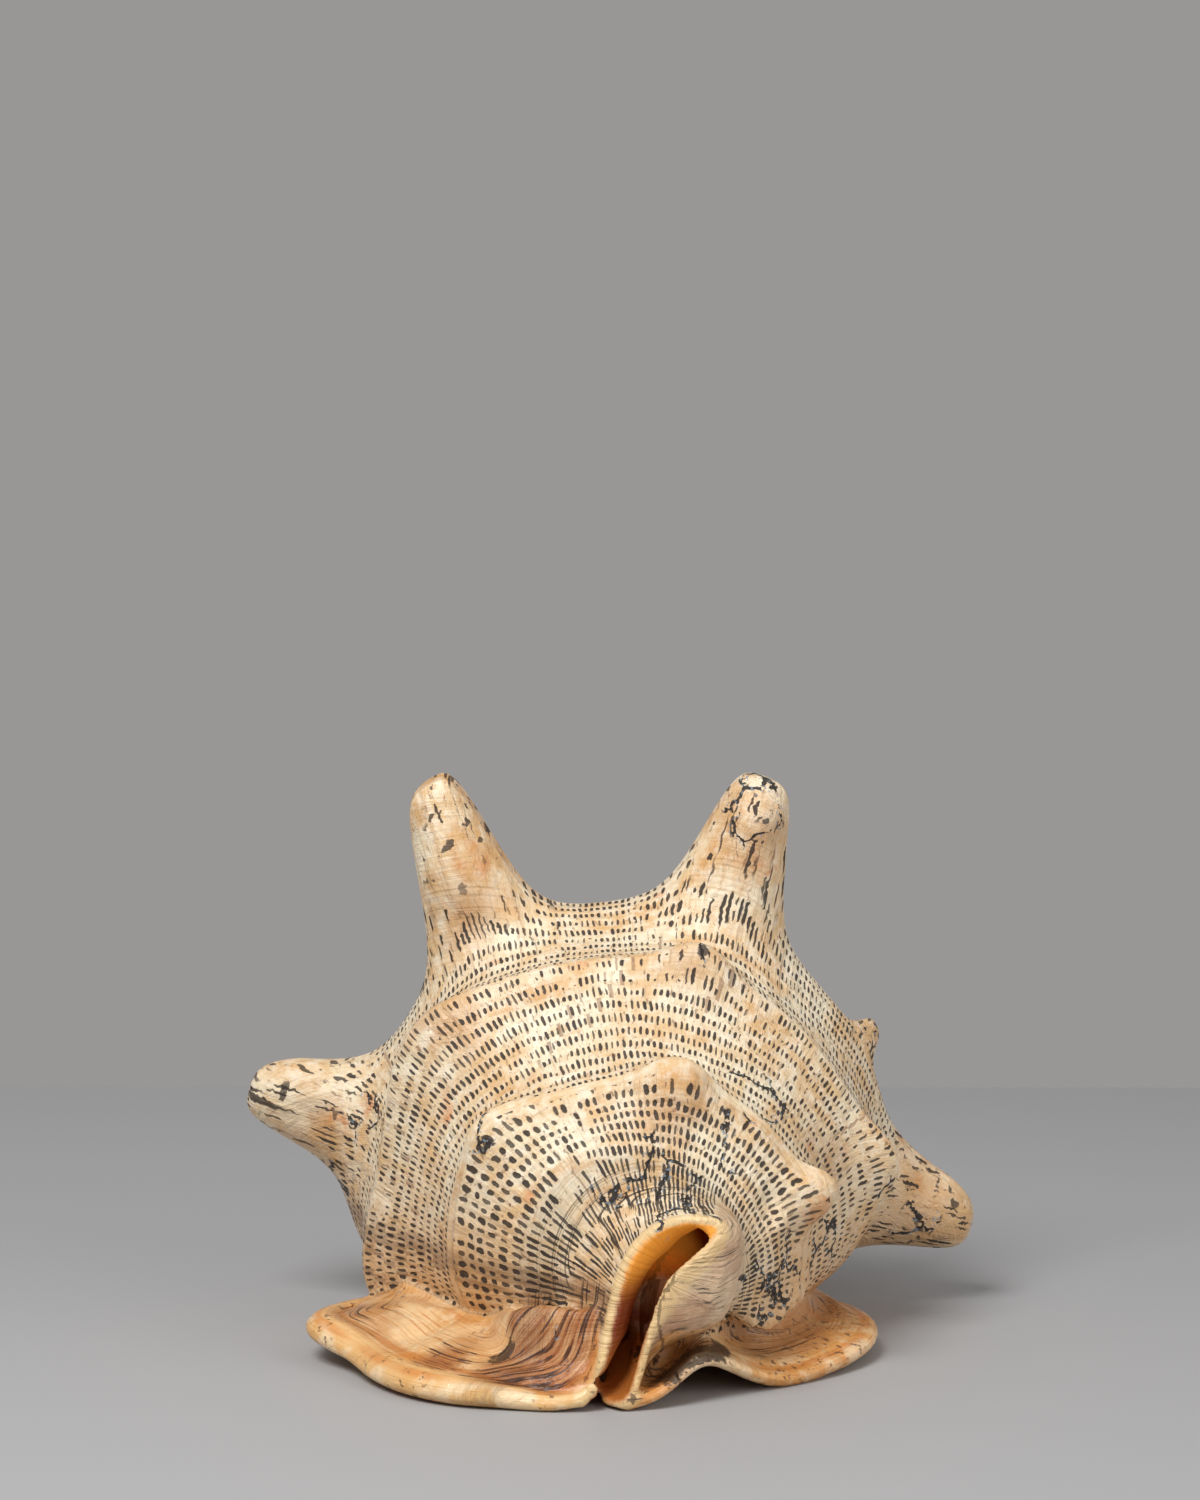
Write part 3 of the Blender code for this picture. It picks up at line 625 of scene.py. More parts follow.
# Swellings and hollows: place, radius and height.
SWELLINGS = (
    ((20, -60, 93), 11, 3.8), ((-41, -54, 77), 13, 1.6), ((-54, -17, 105), 14, 1.8),
    ((-50, 6, 146), 12, 3.0), ((-44, 8, 133), 9, -2.2), ((48, 10, 168), 8, 1.6), ((57, 14, 158), 6, -1.6),
    ((43, 12, 178), 4, -1.4), ((47, -3, 140), 7, 2.0), ((-104, 38, 80), 9, 1.8), ((-98, 34, 66), 7, -1.8),
    ((66, -50, 58), 9, 3.0), ((48, -60, 54), 5, -1.8), ((52, -58, 49), 4, 1.6), ((56, -54, 43), 4, -1.2),
    ((110, 48, 36), 7, 1.6), ((100, 42, 40), 6, -1.4), ((-60, -46, 14), 8, -2.5), ((-35, -70, 14), 7, -2.0),
)
# The crusty edge's corners, how far it stands out, and the hollow below it.
CRUSTY_EDGE = ((32, -65, 27), (41, -60, 20), (46, -55, 18), (55, -50, 20), (63, -40, 21), (73, -25, 27))
CRUST_LIFT = 5.0
CRUST_HALF_WIDTH = 5.0
CRUST_UNDERCUT = 4.0
CRUST_HOLLOW = 4.0
CRUST_STEP = 3.0
# The groove and the roll beside it, in points across the flange's outline, and its depth.
RIM_GROOVE = 7.6
RIM_ROLL = 6.4
RIM_GROOVE_HALF = 0.5
RIM_GROOVE_DEPTH = 1.5
# How the distances to the lip's and the canal's free edges are rounded into one.
EDGE_ROUNDING = 2.5
EDGE_STEP = 0.5
EDGE_LEAST = 0.1
# Where the body's skin gives way to callus, and how far the marks of a horn's tip reach.
BODY_REACH = 12.0
CALLUS_BLEND = (-0.6, 1.6)
LARGE_SHAFT = 10.0
LARGE_TIP = (62, 22)
SMALL_TIP = (20, 8)


def line_through(corners, spacing):
    """Points along straight lines between corners."""
    corners = np.array(corners, float)
    lengths = np.concatenate([[0], np.cumsum(np.linalg.norm(np.diff(corners, axis=0), axis=1))])
    at = np.arange(0, lengths[-1], spacing)
    return np.stack([np.interp(at, lengths, corners[:, axis]) for axis in range(3)], axis=-1)


def along_edge(points, corners):
    """Each place's distance to a line through corners."""
    line = line_through(corners, EDGE_STEP)
    tree = KDTree(len(line))
    for i, spot in enumerate(line.tolist()):
        tree.insert(spot, i)
    tree.balance()
    return np.array([tree.find(place)[2] for place in points.tolist()])


def near_places(points, spots):
    """How near each place is to a list of places with radii: 1 in the middle, 0 far away."""
    near = np.zeros(len(points))
    for spot, radius in spots:
        near = np.maximum(near, bump(np.linalg.norm(points - spot, axis=1), radius))
    return near


places, normals = skin_places()
growth = growth_of(places, normals)
lift = np.zeros(len(places))
for spot, radius, height in SWELLINGS:
    lift += height * bump(np.linalg.norm(places - spot, axis=1), radius)
crust = line_through(CRUSTY_EDGE, CRUST_STEP)
crust_far = np.linalg.norm(places[:, None, :] - crust[None], axis=2)
crust_nearest = crust_far.argmin(axis=1)
crust_far = crust_far.min(axis=1)
above_crust = places[:, 2] - crust[crust_nearest, 2]
lift += CRUST_LIFT * bump(crust_far, CRUST_HALF_WIDTH) * ramp(above_crust, -1.5, 0.5)
lift -= CRUST_UNDERCUT * bump(crust_far - CRUST_HOLLOW, CRUST_HOLLOW) * ramp(-above_crust, 1, 3)
body_near = np.minimum(growth["outside"], BODY_REACH)
on_flange = ramp(body_near - growth["lip"], *CALLUS_BLEND)
groove = bump(growth["lip_across"] - RIM_GROOVE, RIM_GROOVE_HALF)
groove -= 0.5 * bump(growth["lip_across"] - RIM_ROLL, RIM_GROOVE_HALF)
lift -= RIM_GROOVE_DEPTH * groove * on_flange * ramp(places[:, 2], 0.5, 3)
moved = places + normals * lift[:, None] + (0, CENTRING, 0)
shell.data.vertices.foreach_set("co", (moved * MM).ravel())
shell.data.update()

# Cracked, stained, dirty and worn places: where each is, and its radius. The dirty places are dark hollows,
# which hold dirt and painted shade; the tanned places hold tan stains and painted shade below knobs and on
# lower sides.
CRACKED = (
    ((16, -72, 69), 13), ((23, -86, 58), 11), ((3, -75, 65), 9), ((36, -61, 75), 10), ((46, -40, 86), 12),
    ((-41, -54, 77), 7), ((51, -58, 33), 14), ((38, -72, 28), 9), ((66, -26, 34), 12), ((47, 11, 172), 13),
    ((86, 40, 88), 8), ((29, -20, 129), 5), ((92, -6, 50), 7), ((-16, -88, 22), 5), ((-92, 42, 44), 10),
    ((-81, 22, 66), 9), ((100, 40, 30), 9),
)
RUSTY = (
    ((-18, -90, 16), 16), ((-10, -86, 30), 12), ((-32, -84, 14), 15), ((-26, -74, 24), 12),
    ((-52, -70, 14), 10),
)
# Dark hollows, which hold dirt and painted shade.
GRIME_AND_SHADE_PLACES = (
    ((20, -83, 9), 13), ((28, -82, 13), 10), ((15, -78, 14), 10), ((34, -76, 17), 8), ((-34, -72, 13), 6),
    ((29, -20, 129), 3),
)
# Tan stains, and painted shade below knobs and swellings and on the lower sides.
TAN_AND_SHADE_PLACES = (
    ((19, -58, 84), 12), ((-54, -17, 100), 16), ((-96, 32, 62), 9), ((-50, 8, 136), 14), ((26, -18, 122), 9),
    ((50, 8, 160), 14), ((70, -30, 62), 14), ((-44, -60, 30), 12), ((100, 44, 38), 14),
)

flange_near = np.minimum(growth["lip"], growth["shield"])
callus = ramp(body_near - flange_near, *CALLUS_BLEND)
lip_side_of_canal = ramp(growth["canal"], 4.5, 3.0) * ramp(-places[:, 0], -2, 0)
lip_side_of_canal *= ramp(places[:, 2], 30, 16)
facing_down = ramp(-normals[:, 2], 0.5, 0.8) * ramp(places[:, 2], 42, 32)
facing_down *= ramp(np.minimum(flange_near, growth["columella"]), 18, 12)
callus = np.maximum(np.maximum(callus, lip_side_of_canal), facing_down)
chamber = ramp(growth["outside"] - growth["chamber"], 0, 2.0) * ramp(growth["chamber"], 4, 2)
pillar = ramp(growth["outside"] - growth["columella"], 1, 3) * ramp(growth["columella"], 3, 1.5)
inner = np.maximum(np.maximum(chamber, pillar) * ramp(growth["canal"], 5, 9), growth["gutter"])
canal_edge = ramp(growth["canal_rim"], 3.2, 1.4) * ramp(growth["canal"], 3.4, 2.2)
rim_column = round(FLANGE_RIM_POINT / FLANGE_LAST_POINT * (FLANGE_COLUMNS - 1))
canal_top = round(CANAL_TOP_POINT / CANAL_LAST_POINT * (CANAL_COLUMNS - 1))
lip_far = along_edge(places, lip_rings[::4, rim_column])
canal_far = along_edge(places, canal_points[0, :canal_top:3])
shield_far = along_edge(places, shield_rings[::4, rim_column])
rounded = sum(np.maximum(far, EDGE_LEAST) ** -EDGE_ROUNDING for far in (lip_far, canal_far))
edge_far = np.minimum(rounded ** (-1 / EDGE_ROUNDING), shield_far)
horn_tip = np.zeros(len(places))
for _, tip, shaft, _ in HORNS:
    reach = np.linalg.norm(places - tip, axis=1)
    tip_marks = LARGE_TIP if shaft > LARGE_SHAFT else SMALL_TIP
    horn_tip = np.maximum(horn_tip, ramp(reach, *tip_marks))
degrees = np.arange(LINE_TURN[0], LINE_TURN[-1] + 1)
pitch = np.interp(degrees, LINE_TURN, LINE_PITCH)
line_count = np.concatenate([[0], np.cumsum(1 / pitch)[:-1]])
marks = {
    "turn": np.radians(growth["turn"]),
    "rows": growth["rows"],
    "lines": np.interp(growth["turn"], degrees, line_count),
    "callus": callus,
    "inner": inner,
    "canal_edge": canal_edge,
    "horn_tip": horn_tip,
    "rim": growth["lip_across"],
    "on_lip": ramp(growth["shield"] - growth["lip"], -1, 1) * on_flange,
    "height": places[:, 2],
    "edge_far": edge_far,
    "cracked": near_places(places, CRACKED),
    "rusty": near_places(places, RUSTY),
    # Dirt and painted shade in the hollows, and a band of painted shade under the crusty edge.
    "grime_and_shade": np.maximum(
        near_places(places, GRIME_AND_SHADE_PLACES) * ramp(normals[:, 2], -0.6, -0.2),
        bump(crust_far, 3.5) * ramp(-above_crust, -1, 1) * 0.9,
    ),
    "ear": growth["ear"],
    "tan_and_shade": near_places(places, TAN_AND_SHADE_PLACES),
}
for name, values in marks.items():
    mark = shell.data.attributes.new(name, "FLOAT", "POINT")
    mark.data.foreach_set("value", np.asarray(values, dtype=np.float32))

bpy.ops.object.mode_set(mode="EDIT")
bpy.ops.mesh.select_all(action="SELECT")
bpy.ops.mesh.bisect(
    plane_co=(0, 0, 0), plane_no=(0, 0, -1), use_fill=True, clear_outer=True, threshold=0.000001
)
bpy.ops.mesh.select_all(action="SELECT")
bpy.ops.mesh.quads_convert_to_tris()
bpy.ops.mesh.normals_make_consistent(inside=False)
bpy.ops.object.mode_set(mode="OBJECT")
bpy.ops.object.shade_smooth()

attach(shell, "root")
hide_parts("shell")

# Aged aragonite.
# Old beach-worn shell: creamy calcium carbonate with tan and ochre stains, rows of dark pits that
# follow the growth lines, black cracks, and a smoother, oranger callus. Nearly polished in parts.

# In millimetres: the pitch of the rows and of the pits in them, and the row radii.
ROW_PITCH = 4.8
DASH_PITCH = 1.95
FIRST_ROW_RADIUS = 16.0
ROW_RADIUS_MOST = 82.0


def linear(hex_colour):
    """The linear colour of an sRGB hex value, with full alpha."""
    parts = [int(hex_colour[i : i + 2], 16) / 255 for i in (1, 3, 5)]
    return [c / 12.92 if c <= 0.04045 else ((c + 0.055) / 1.055) ** 2.4 for c in parts] + [1]


def new_material(name, colour, roughness):
    """A Principled material of one colour, and its tree and surface shader."""
    material = bpy.data.materials.new(name)
    material.use_nodes = True
    surface = material.node_tree.nodes["Principled BSDF"]
    surface.inputs["Base Color"].default_value = linear(colour)
    surface.inputs["Roughness"].default_value = roughness
    return material, material.node_tree, surface


# Kinds of node: type, sockets in the order of the values, output, and settings. Any other kind
# is an operation of the Math node. A grade starts at 0 below its low value and ends at 1 above
# its high one, unless two more values say otherwise.
NODE_KINDS = {
    "mark": ("Attribute", (), "Fac", {}),
    "place": ("TexCoord", (), "Object", {}),
    "triple": ("CombineXYZ", (0, 1, 2), 0, {}),
    "split": ("SeparateColor", (0,), 0, {}),
    "noise": ("TexNoise", ("Vector", "Scale", "Detail", "Roughness", "Distortion"), "Fac", {}),
    "vector_noise": ("TexNoise", ("Vector", "Scale", "Detail"), "Color", {}),
    "chance": ("TexWhiteNoise", ("Vector",), "Color", {}),
    "cell_edge": ("TexVoronoi", ("Vector", "Scale"), 0, {"feature": "DISTANCE_TO_EDGE"}),
    "vectors": ("VectorMath", (0, 1), 0, {}),
    "grade": ("MapRange", (0, 1, 2, 3, 4), 0, {"interpolation_type": "SMOOTHSTEP"}),
    "mix": ("Mix", (0, 2, 3), 0, {}),
    "blend": ("Mix", (0, 6, 7), 2, {"data_type": "RGBA"}),
    "bump": ("Bump", ("Strength", "Distance", "Height"), 0, {}),
}


def add(kind, *values, **settings):
    """Adds a node to the shell's material: values, hex colours or links go into its sockets."""
    maths = ("Math", (0, 1, 2), 0, {"operation": kind})
    node_type, sockets, out, fixed = NODE_KINDS.get(kind, maths)
    node = shell_tree.nodes.new("ShaderNode" + node_type)
    for name, setting in {**fixed, **settings}.items():
        setattr(node, name, setting)
    for socket, value in zip(sockets, values):
        if isinstance(value, bpy.types.NodeSocket):
            shell_tree.links.new(value, node.inputs[socket])
        else:
            plain = linear(value) if isinstance(value, str) else value
            node.inputs[socket].default_value = plain
    return node.outputs[out]


shell_material, shell_tree, shell_surface = new_material("aged_aragonite", "#ead9b9", 0.42)
shell.data.materials.clear()
shell.data.materials.append(shell_material)

place = add("place")
turn, rows, lines, callus, inner, horn_tip, rim, on_lip = (
    add("mark", attribute_name=name)
    for name in ("turn", "rows", "lines", "callus", "inner", "horn_tip", "rim", "on_lip")
)
height, edge_far, cracked, rusty, grime_and_shade, tan_and_shade, canal_edge, ear = (
    add("mark", attribute_name=name)
    for name in ("height", "edge_far", "cracked", "rusty", "grime_and_shade", "tan_and_shade", "canal_edge", "ear")
)

# Rows of pits. The rows bend a little, and each pit has its own width, length and darkness.
drift = add("noise", place, 22, 2)
shake = add("noise", place, 160, 2)
bent = add("MULTIPLY_ADD", drift, 7.0, rows)
bent = add("MULTIPLY_ADD", shake, 2.4, bent)
row_count = add("DIVIDE", bent, ROW_PITCH)
row = add("FLOOR", row_count)
in_row = add("FRACT", row_count)
radius = add("MULTIPLY_ADD", row, ROW_PITCH * 0.5, FIRST_ROW_RADIUS)
radius = add("MINIMUM", radius, ROW_RADIUS_MOST)
arc = add("DIVIDE", add("MULTIPLY", turn, radius), DASH_PITCH)
first_whorl = add("grade", rows, KEEL_3_ALONG - 1, KEEL_3_ALONG + 1, 1.0, 0.0)
seam = add(
    "MULTIPLY",
    add("grade", rows, KEEL_3_ALONG - 2.5, KEEL_3_ALONG - 1),
    add("grade", rows, KEEL_3_ALONG + 1, KEEL_3_ALONG + 2.5, 1.0, 0.0),
)
off_seam = add("SUBTRACT", 1.0, seam)
line = add("mix", first_whorl, arc, lines)
line = add("MULTIPLY_ADD", shake, 0.7, line)
column = add("FLOOR", line)
in_line = add("FRACT", line)
chance = add("chance", add("triple", row, column, 3.0))
one, two, three = add("split", chance).node.outputs[:3]
half_width = add("MULTIPLY_ADD", two, 0.16, 0.16)
half_length = add("MULTIPLY_ADD", three, 0.17, 0.2)
half_length = add("MULTIPLY_ADD", first_whorl, 0.06, half_length)
half_width = add("MULTIPLY_ADD", first_whorl, 0.04, half_width)
near_canal = add("grade", rows, 24, 42, 1.0, 0.0)
half_length = add("MULTIPLY_ADD", near_canal, 0.3, half_length)
across = add("DIVIDE", add("SUBTRACT", in_line, 0.5), half_width)
along = add("DIVIDE", add("SUBTRACT", in_row, 0.5), half_length)
oval = add("ADD", add("POWER", add("ABSOLUTE", across), 2.2), add("POWER", add("ABSOLUTE", along), 2.8))
ragged = add("MULTIPLY_ADD", add("noise", place, 620, 3, 0.65), 2.0, add("SUBTRACT", oval, 1.0))
patchy = add("noise", place, 34, 3, 0.55)
patchy_fine = add("noise", place, 120, 2, 0.5)
cover = add("MULTIPLY_ADD", patchy, 2.2, -0.12)
cover = add("MULTIPLY_ADD", patchy_fine, 0.5, add("SUBTRACT", cover, 0.25))
off_keel_3 = add("ABSOLUTE", add("SUBTRACT", rows, KEEL_3_ALONG - 2))
off_keel_2 = add("ABSOLUTE", add("SUBTRACT", rows, KEEL_2_ALONG - 2))
# Where the pits get fewer, and by how much.
fewer_pits = (
    (add("grade", off_keel_3, 4, 9, 1.0, 0.0), -0.4),
    (add("grade", off_keel_2, 3, 8, 1.0, 0.0), -0.4),
    (horn_tip, -0.75),
    (callus, -2.0),
    (inner, -2.0),
    (ear, -2.0),
    (add("grade", rows, 195, 235), -0.75),
    (canal_edge, -2.0),
    (add("grade", rows, 24, 34, 1.0, 0.0), -0.35),
    (seam, -2.0),
)
for where, change in fewer_pits:
    cover = add("MULTIPLY_ADD", where, change, cover)
present = add("LESS_THAN", one, cover)
pit = add("MULTIPLY", add("grade", ragged, 0.55, 1.15, 1.0, 0.0), present)
depth = add("MULTIPLY_ADD", two, 0.2, 0.85)
pit = add("MULTIPLY", pit, depth, use_clamp=True)

# Growth lines: streaks along them, pale and dark, and hair lines.
fan = add(
    "triple",
    add("MULTIPLY", line, add("MULTIPLY_ADD", near_canal, -0.42, 0.9)),
    add("MULTIPLY", rows, 0.05),
    0.0,
)
streak_noise = add("noise", fan, 1.0, 3, 0.6)
broad_fan = add("triple", add("MULTIPLY", turn, 9.0), add("MULTIPLY", rows, 0.02), 5.0)
broad = add("noise", broad_fan, 1.0, 4, 0.6)
band = add(
    "noise", add("triple", add("MULTIPLY", turn, 1.2), add("MULTIPLY", rows, 0.11), 9.0), 1.0, 4, 0.6
)
hair_source = add("triple", add("MULTIPLY", line, 0.55), add("MULTIPLY", rows, 0.012), 2.0)
hair = add("grade", add("noise", hair_source, 1.0, 2, 0.5), 0.66, 0.7)
canal_streak = add("MULTIPLY", add("grade", streak_noise, 0.57, 0.62), near_canal)
horn_fan = add("triple", add("MULTIPLY", line, 0.6), add("MULTIPLY", rows, 0.04), 7.0)
horn_streak = add(
    "MULTIPLY",
    add("grade", add("noise", horn_fan, 1.0, 3, 0.6), 0.6, 0.65),
    add("grade", rows, 128, 140),
)
horn_streak = add("MULTIPLY", horn_streak, add("grade", add("noise", place, 36, 2), 0.5, 0.58))
canal_streak = add("MAXIMUM", canal_streak, horn_streak)
not_callus = add("SUBTRACT", 1.0, callus)
not_inner = add("SUBTRACT", 1.0, inner)
bare_body = add("MULTIPLY", not_callus, not_inner)
canal_streak = add("MULTIPLY", canal_streak, bare_body)
canal_streak = add("MULTIPLY", canal_streak, add("SUBTRACT", 1.0, add("MAXIMUM", ear, canal_edge)))
fleck_fan = add("triple", add("MULTIPLY", line, 1.5), add("MULTIPLY", rows, 0.3), 11.0)
fleck = add(
    "MULTIPLY",
    add("grade", add("noise", fleck_fan, 1.0, 3, 0.6), 0.6, 0.67),
    add("SUBTRACT", bare_body, ear, use_clamp=True),
)
wrinkle_fan = add("triple", add("MULTIPLY", line, 0.8), add("MULTIPLY", rows, 0.03), 6.0)
wrinkle_band = add(
    "MULTIPLY", add("grade", height, 46, 26), add("MULTIPLY", add("grade", turn, 2.6, 2.95), bare_body)
)
wrinkles = add("MULTIPLY", add("noise", wrinkle_fan, 1.0, 2, 0.5), wrinkle_band)
# Painted shade in the troughs of the wrinkles, which have no relief of their own.
wrinkle_shade = add("MULTIPLY", add("grade", wrinkles, 0.46, 0.38), add("grade", wrinkles, 0.1, 0.3))
ear_turn = add(
    "triple",
    add("MULTIPLY_ADD", height, 0.32, add("MULTIPLY", rows, -0.1)),
    add("MULTIPLY", turn, 2.0),
    3.0,
)
ear_lines = add("noise", ear_turn, 3.4, 4, 0.65, 0.6)
rim_patchy = add("noise", place, 110, 3)
ear_streak = add(
    "MULTIPLY",
    add("grade", ear_lines, 0.56, 0.6),
    add("MULTIPLY", ear, add("grade", rim_patchy, 0.4, 0.55)),
)

# Cracks: black branching lines in places, with grey specks along them.
crack_turn = add("vector_noise", place, 140, 4)
crack_warp = add("vectors", crack_turn, (0.009, 0.009, 0.009), operation="MULTIPLY")
crack_place = add("vectors", place, crack_warp, operation="ADD")
crack_far = add("cell_edge", crack_place, 58)
crack_width = add("MULTIPLY_ADD", add("noise", place, 80, 2), 0.075, -0.008)
crack = add("LESS_THAN", crack_far, crack_width)
crack_gaps = add("grade", add("noise", place, 210, 3, 0.6), 0.42, 0.47)
crack_zone = add("grade", add("MULTIPLY_ADD", add("noise", place, 55, 2), 0.6, cracked), 0.62, 0.72)
crack = add("MULTIPLY", crack, add("MULTIPLY", crack_zone, crack_gaps))
crack = add("MULTIPLY", crack, not_inner)
speck = add(
    "MULTIPLY",
    add("grade", add("noise", place, 700, 2), 0.6, 0.64),
    add("grade", crack_far, 0.14, 0.04),
)
speck = add("MULTIPLY", speck, crack_zone)

# Colour of the worn outer layer.
mottle = add("noise", place, 42, 6, 0.62, 0.4)
fine_mottle = add("noise", place, 230, 4, 0.6)
base = add("blend", add("grade", mottle, 0.38, 0.66), "#f2e2c2", "#dfb783")
ochre = add(
    "MULTIPLY",
    add("grade", add("noise", place, 55, 3, 0.6), 0.62, 0.74),
    add("grade", fine_mottle, 0.3, 0.6),
)
horn_stain = add("MULTIPLY", add("grade", add("noise", place, 75, 4, 0.6), 0.44, 0.64), horn_tip)
# Tan stains and painted shade below knobs and on the lower sides.
tan_and_shade_patch = add("MULTIPLY", tan_and_shade, add("grade", add("noise", place, 60, 4, 0.6), 0.3, 0.55))
rust_lines = add(
    "noise", add("triple", add("MULTIPLY", line, 0.7), add("MULTIPLY", rows, 0.05), 4.0), 1.0, 4, 0.6
)
rust_patch = add(
    "MULTIPLY", add("grade", rusty, 0.25, 0.75), add("grade", rust_lines, 0.3, 0.6, 0.5, 0.95)
)
# Painted warm shade: a darker tan towards the bottom of the shell.
low = add(
    "MULTIPLY",
    add("grade", height, 75, 20),
    add("grade", add("noise", place, 30, 3), 0.3, 0.6, 0.3, 0.7),
)
worn_layers = (
    (add("grade", broad, 0.48, 0.72, 0.0, 0.6), "#e0b981"),
    (add("grade", band, 0.52, 0.72, 0.0, 0.75), "#d29a57"),
    (add("grade", fine_mottle, 0.42, 0.66, 0.0, 0.5), "#faf1dd"),
    (add("MULTIPLY", ochre, 0.8), "#d9853c"),
    (add("MULTIPLY", add("grade", streak_noise, 0.54, 0.76, 0.0, 0.5), off_seam), "#bd9260"),
    (add("MULTIPLY", add("MULTIPLY", hair, off_seam), 0.6), "#85583a"),
    (add("MULTIPLY", horn_stain, 0.55), "#c8924f"),
    # Tan stains and painted shade.
    (add("MULTIPLY", tan_and_shade_patch, 0.75), "#c08a4f"),
    (rust_patch, "#ac6c3f"),
    # Painted shade, darker towards the bottom.
    (low, "#d2a36c"),
    (ear, add("blend", add("grade", mottle, 0.36, 0.66), "#d9bd9b", "#b98f6c")),
    (add("MULTIPLY", add("MULTIPLY", fleck, off_seam), 0.65), "#7a5236"),
    # Painted shade in the wrinkles.
    (add("MULTIPLY", wrinkle_shade, 0.55), "#84603f"),
)
for mask, colour in worn_layers:
    base = add("blend", mask, base, colour)

# Colour of the callus: cream to orange, with streaks that run along the lip's rim.
rim_wander = add("noise", place, 24, 2)
rim_fan = add(
    "triple",
    add("MULTIPLY", rim_wander, 4.0),
    add("MULTIPLY_ADD", rim_wander, 3.0, add("MULTIPLY", edge_far, 0.95)),
    1.0,
)
rim_lines = add("noise", rim_fan, 1.0, 4, 0.6, 0.3)
callus_colour = add("blend", add("grade", mottle, 0.36, 0.66), "#efc996", "#d9994f")
rim_roll = add("MULTIPLY", add("grade", rim, 7.2, 6.8), on_lip)
groove_line = add(
    "MULTIPLY", add("grade", add("ABSOLUTE", add("SUBTRACT", rim, 7.5)), 0.28, 0.12), on_lip
)
shelf_brown = add(
    "MULTIPLY", add("grade", add("noise", place, 26, 4, 0.6), 0.42, 0.6), add("grade", edge_far, 6, 11)
)
rust_callus = add(
    "MULTIPLY", add("grade", rusty, 0.25, 0.75), add("grade", rim_lines, 0.35, 0.6, 0.5, 1.0)
)
rust_callus = add("MULTIPLY", rust_callus, add("grade", edge_far, 3.5, 6.0))
uneven = add("noise", place, 42, 2)
stripe = add(
    "MULTIPLY",
    add("grade", add("ABSOLUTE", add("SUBTRACT", edge_far, 5.0)), 2.2, 0.6),
    add("grade", uneven, 0.35, 0.55),
)
pale_rim = add(
    "MULTIPLY",
    add("grade", add("noise", place, 70, 2, 0.6), 0.48, 0.6),
    add("grade", edge_far, 6.0, 3.0),
)
callus_layers = (
    (add("grade", rim_lines, 0.5, 0.68, 0.0, 0.8), "#c67a3a"),
    (add("grade", fine_mottle, 0.5, 0.7, 0.0, 0.5), "#f3dcb4"),
    (add("MULTIPLY", rim_roll, 0.65), "#e8b876"),
    (add("MULTIPLY", groove_line, 0.7), "#c9772b"),
    (add("MULTIPLY", shelf_brown, 0.7), "#b57a45"),
    (add("MULTIPLY", stripe, 0.6), "#d07c2c"),
    (add("MULTIPLY", pale_rim, 0.6), "#f3dcb6"),
    (rust_callus, "#a4602f"),
)
for mask, colour in callus_layers:
    callus_colour = add("blend", mask, callus_colour, colour)
rim_patches = add("MULTIPLY_ADD", add("grade", rusty, 0.1, 0.6), 0.3, add("noise", place, 28, 2))
lined = add("MAXIMUM", callus, add("grade", rusty, 0.4, 0.7))
rim_dark = add("MULTIPLY", add("grade", rim_lines, 0.55, 0.59), add("grade", edge_far, 3.0, 4.5))
rim_dark = add("MULTIPLY", rim_dark, add("MULTIPLY", lined, add("grade", rim_patches, 0.52, 0.6)))
rim_dark = add("MULTIPLY", rim_dark, add("SUBTRACT", 1.0, ear))
rim_dark = add("MULTIPLY", rim_dark, not_inner)
callus_speck = add(
    "MULTIPLY",
    add("grade", add("noise", place, 380, 2, 0.6), 0.6, 0.65),
    add("grade", uneven, 0.46, 0.56),
)
callus_speck = add("MULTIPLY", callus_speck, add("MULTIPLY", callus, not_inner))
base = add("blend", callus, base, callus_colour)
base = add("blend", add("MULTIPLY", canal_edge, 0.8), base, "#ecc98f")

# Colour of the chamber and of the canal: orange, painted brighter where light comes through its thin roof,
# with painted shade that turns it red-brown lower down. The same colour also glows from the inside as
# painted light.
lit_and_shaded_inner_colour = add(
    "blend",
    add("grade", height, 30, 46),
    add("blend", add("grade", height, 12, 26), "#b0682c", "#8a3c12"),
    "#ffa83c",
)
base = add("blend", inner, base, lit_and_shaded_inner_colour)

# Dark marks over all of it.
tip_spot = add(
    "MULTIPLY",
    add("grade", add("noise", place, 210, 2), 0.63, 0.66),
    add("MULTIPLY", horn_tip, add("grade", add("noise", place, 50, 2), 0.45, 0.55)),
)
pit_colour = add("blend", add("noise", place, 90, 2), "#120c09", "#35241a")
# Dirt and painted shade in hollows and under the crusty edge.
grime_and_shade_mask = add("MULTIPLY_ADD", add("noise", place, 190, 5, 0.7, 0.5), 1.8, grime_and_shade)
grime_and_shade_mask = add("grade", grime_and_shade_mask, 1.4, 1.6)
dark_layers = (
    (add("MULTIPLY", canal_streak, 0.92), "#2c1e15"),
    (add("MULTIPLY", rim_dark, 0.9), "#38241a"),
    (add("MULTIPLY", callus_speck, 0.75), "#51382a"),
    (add("MULTIPLY", tip_spot, 0.85), "#2f2119"),
    (add("MULTIPLY", ear_streak, 0.85), "#3a2c24"),
    (add("MULTIPLY", pit, 0.95), pit_colour),
    # Dirt and painted shade.
    (add("MULTIPLY", grime_and_shade_mask, 0.9), "#2a1c12"),
    (add("MULTIPLY", crack, 0.97), "#1b1716"),
    (add("MULTIPLY", speck, 0.8), "#8b98a2"),
)
for mask, colour in dark_layers:
    base = add("blend", mask, base, colour)
shell_tree.links.new(base, shell_surface.inputs["Base Color"])

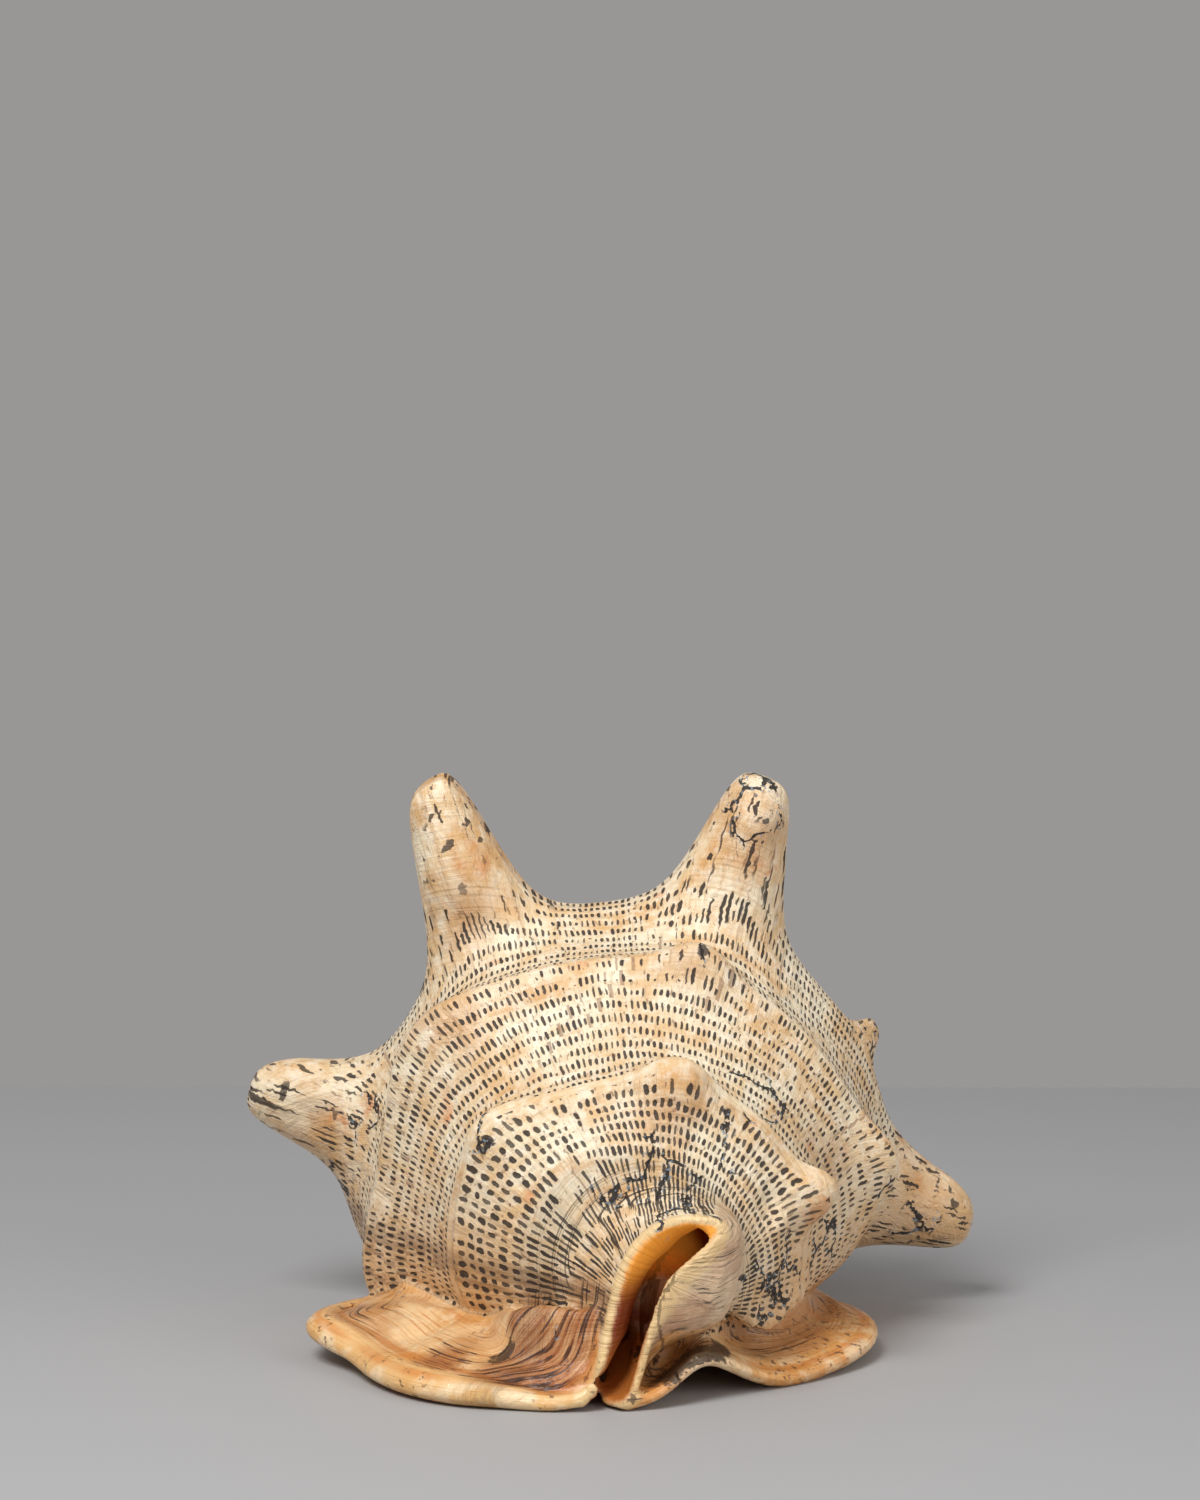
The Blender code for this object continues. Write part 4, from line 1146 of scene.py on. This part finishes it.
dark = add("MAXIMUM", pit, add("MAXIMUM", crack, canal_streak))
gloss = add("grade", mottle, 0.3, 0.7, 0.34, 0.5)
gloss = add("MULTIPLY_ADD", dark, 0.3, gloss)
gloss = add("MULTIPLY_ADD", callus, -0.08, gloss, use_clamp=True)
shell_tree.links.new(gloss, shell_surface.inputs["Roughness"])

# Relief in millimetres: pits sink, growth lines ripple.
relief = add("MULTIPLY", pit, -0.45)
cord = add("MULTIPLY", add("PINGPONG", row_count, 0.5), bare_body)
relief_layers = (
    (crack, -0.5),
    (add("MULTIPLY", streak_noise, off_seam), 0.8),
    (broad, 1.3),
    (fine_mottle, 0.4),
    (cord, -0.5),
    (rim_lines, 0.6),
    (mottle, 1.2),
    (add("noise", place, 900, 3, 0.6), 0.06),
)
for mark, amount in relief_layers:
    relief = add("MULTIPLY_ADD", mark, amount, relief)
bumped = add("bump", 1.0, MM, relief)
shell_tree.links.new(bumped, shell_surface.inputs["Normal"])
# Painted light: the inside glows, most near its top and near the canal, as if lit through the thin roof.
painted_glow = add(
    "MULTIPLY",
    add("MULTIPLY", inner, add("grade", height, 26, 44)),
    add("grade", rows, 60, 30, 0.0, 0.16),
)
shell_tree.links.new(lit_and_shaded_inner_colour, shell_surface.inputs["Emission Color"])
shell_tree.links.new(painted_glow, shell_surface.inputs["Emission Strength"])
shell_surface.inputs["IOR"].default_value = 1.55
shell_surface.inputs["Subsurface Weight"].default_value = 0.08
shell_surface.inputs["Subsurface Radius"].default_value = (1.0, 0.55, 0.3)
shell_surface.inputs["Subsurface Scale"].default_value = 0.003

# Table top.
# A plain pale sheet of matt paper. It ends behind the shell, where it is as bright as the room.

FLOOR_COLOUR = "#ababac"
FLOOR_BACK = 0.47
FLOOR_HALF = 1.2
FLOOR_ROUGHNESS = 0.6
FLOOR_DROP = 0.0002

bpy.ops.object.select_all(action="DESELECT")
floor_place = (0, FLOOR_BACK - FLOOR_HALF, -FLOOR_DROP)
bpy.ops.mesh.primitive_plane_add(size=2 * FLOOR_HALF, location=floor_place)
floor = bpy.context.object
floor.name = "floor"
bpy.ops.object.transform_apply(location=True)
floor_material, _, _ = new_material("matt_paper", FLOOR_COLOUR, FLOOR_ROUGHNESS)
floor.data.materials.append(floor_material)

# Studio light.
# A large soft box above and in front, a weaker one at the side, and a grey room.

ROOM_COLOUR = "#999796"
ROOM_STRENGTH = 1.0
AIMED_AT = (0, 0, 0.06)

world = bpy.data.worlds.new("studio")
bpy.context.scene.world = world
world.use_nodes = True
world.node_tree.nodes["Background"].inputs["Color"].default_value = linear(ROOM_COLOUR)
world.node_tree.nodes["Background"].inputs["Strength"].default_value = ROOM_STRENGTH


def soft_box(name, place, size, power):
    """A square area light that points at the shell."""
    light = bpy.data.lights.new(name, "AREA")
    light.size = size
    light.energy = power
    lamp = bpy.data.objects.new(name, light)
    lamp.location = place
    aim = Vector(AIMED_AT) - Vector(place)
    lamp.rotation_euler = aim.to_track_quat("-Z", "Y").to_euler()
    bpy.context.scene.collection.objects.link(lamp)


# Each box has its name, place, side length and power in watts.
soft_box("key", (-0.45, -0.75, 1.15), 0.6, 17)
soft_box("fill", (0.9, -0.7, 0.45), 0.8, 4.5)
bpy.context.scene.view_settings.view_transform = "Standard"

# Camera.
# It stands 1.3 m in front of the shell and looks down by 5 degrees.

LENS_MM = 100.08
SENSOR_MM = 36
CAMERA_PLACE = (0, -1.32225, 0.31374)
CAMERA_DOWN = 5.311
CAMERA_TURN = 0.165

camera_data = bpy.data.cameras.new("camera")
camera_data.lens = LENS_MM
camera_data.sensor_width = SENSOR_MM
camera = bpy.data.objects.new("camera", camera_data)
camera.location = CAMERA_PLACE
camera.rotation_euler = (math.radians(90 - CAMERA_DOWN), 0, math.radians(CAMERA_TURN))
bpy.context.scene.collection.objects.link(camera)
bpy.context.scene.camera = camera
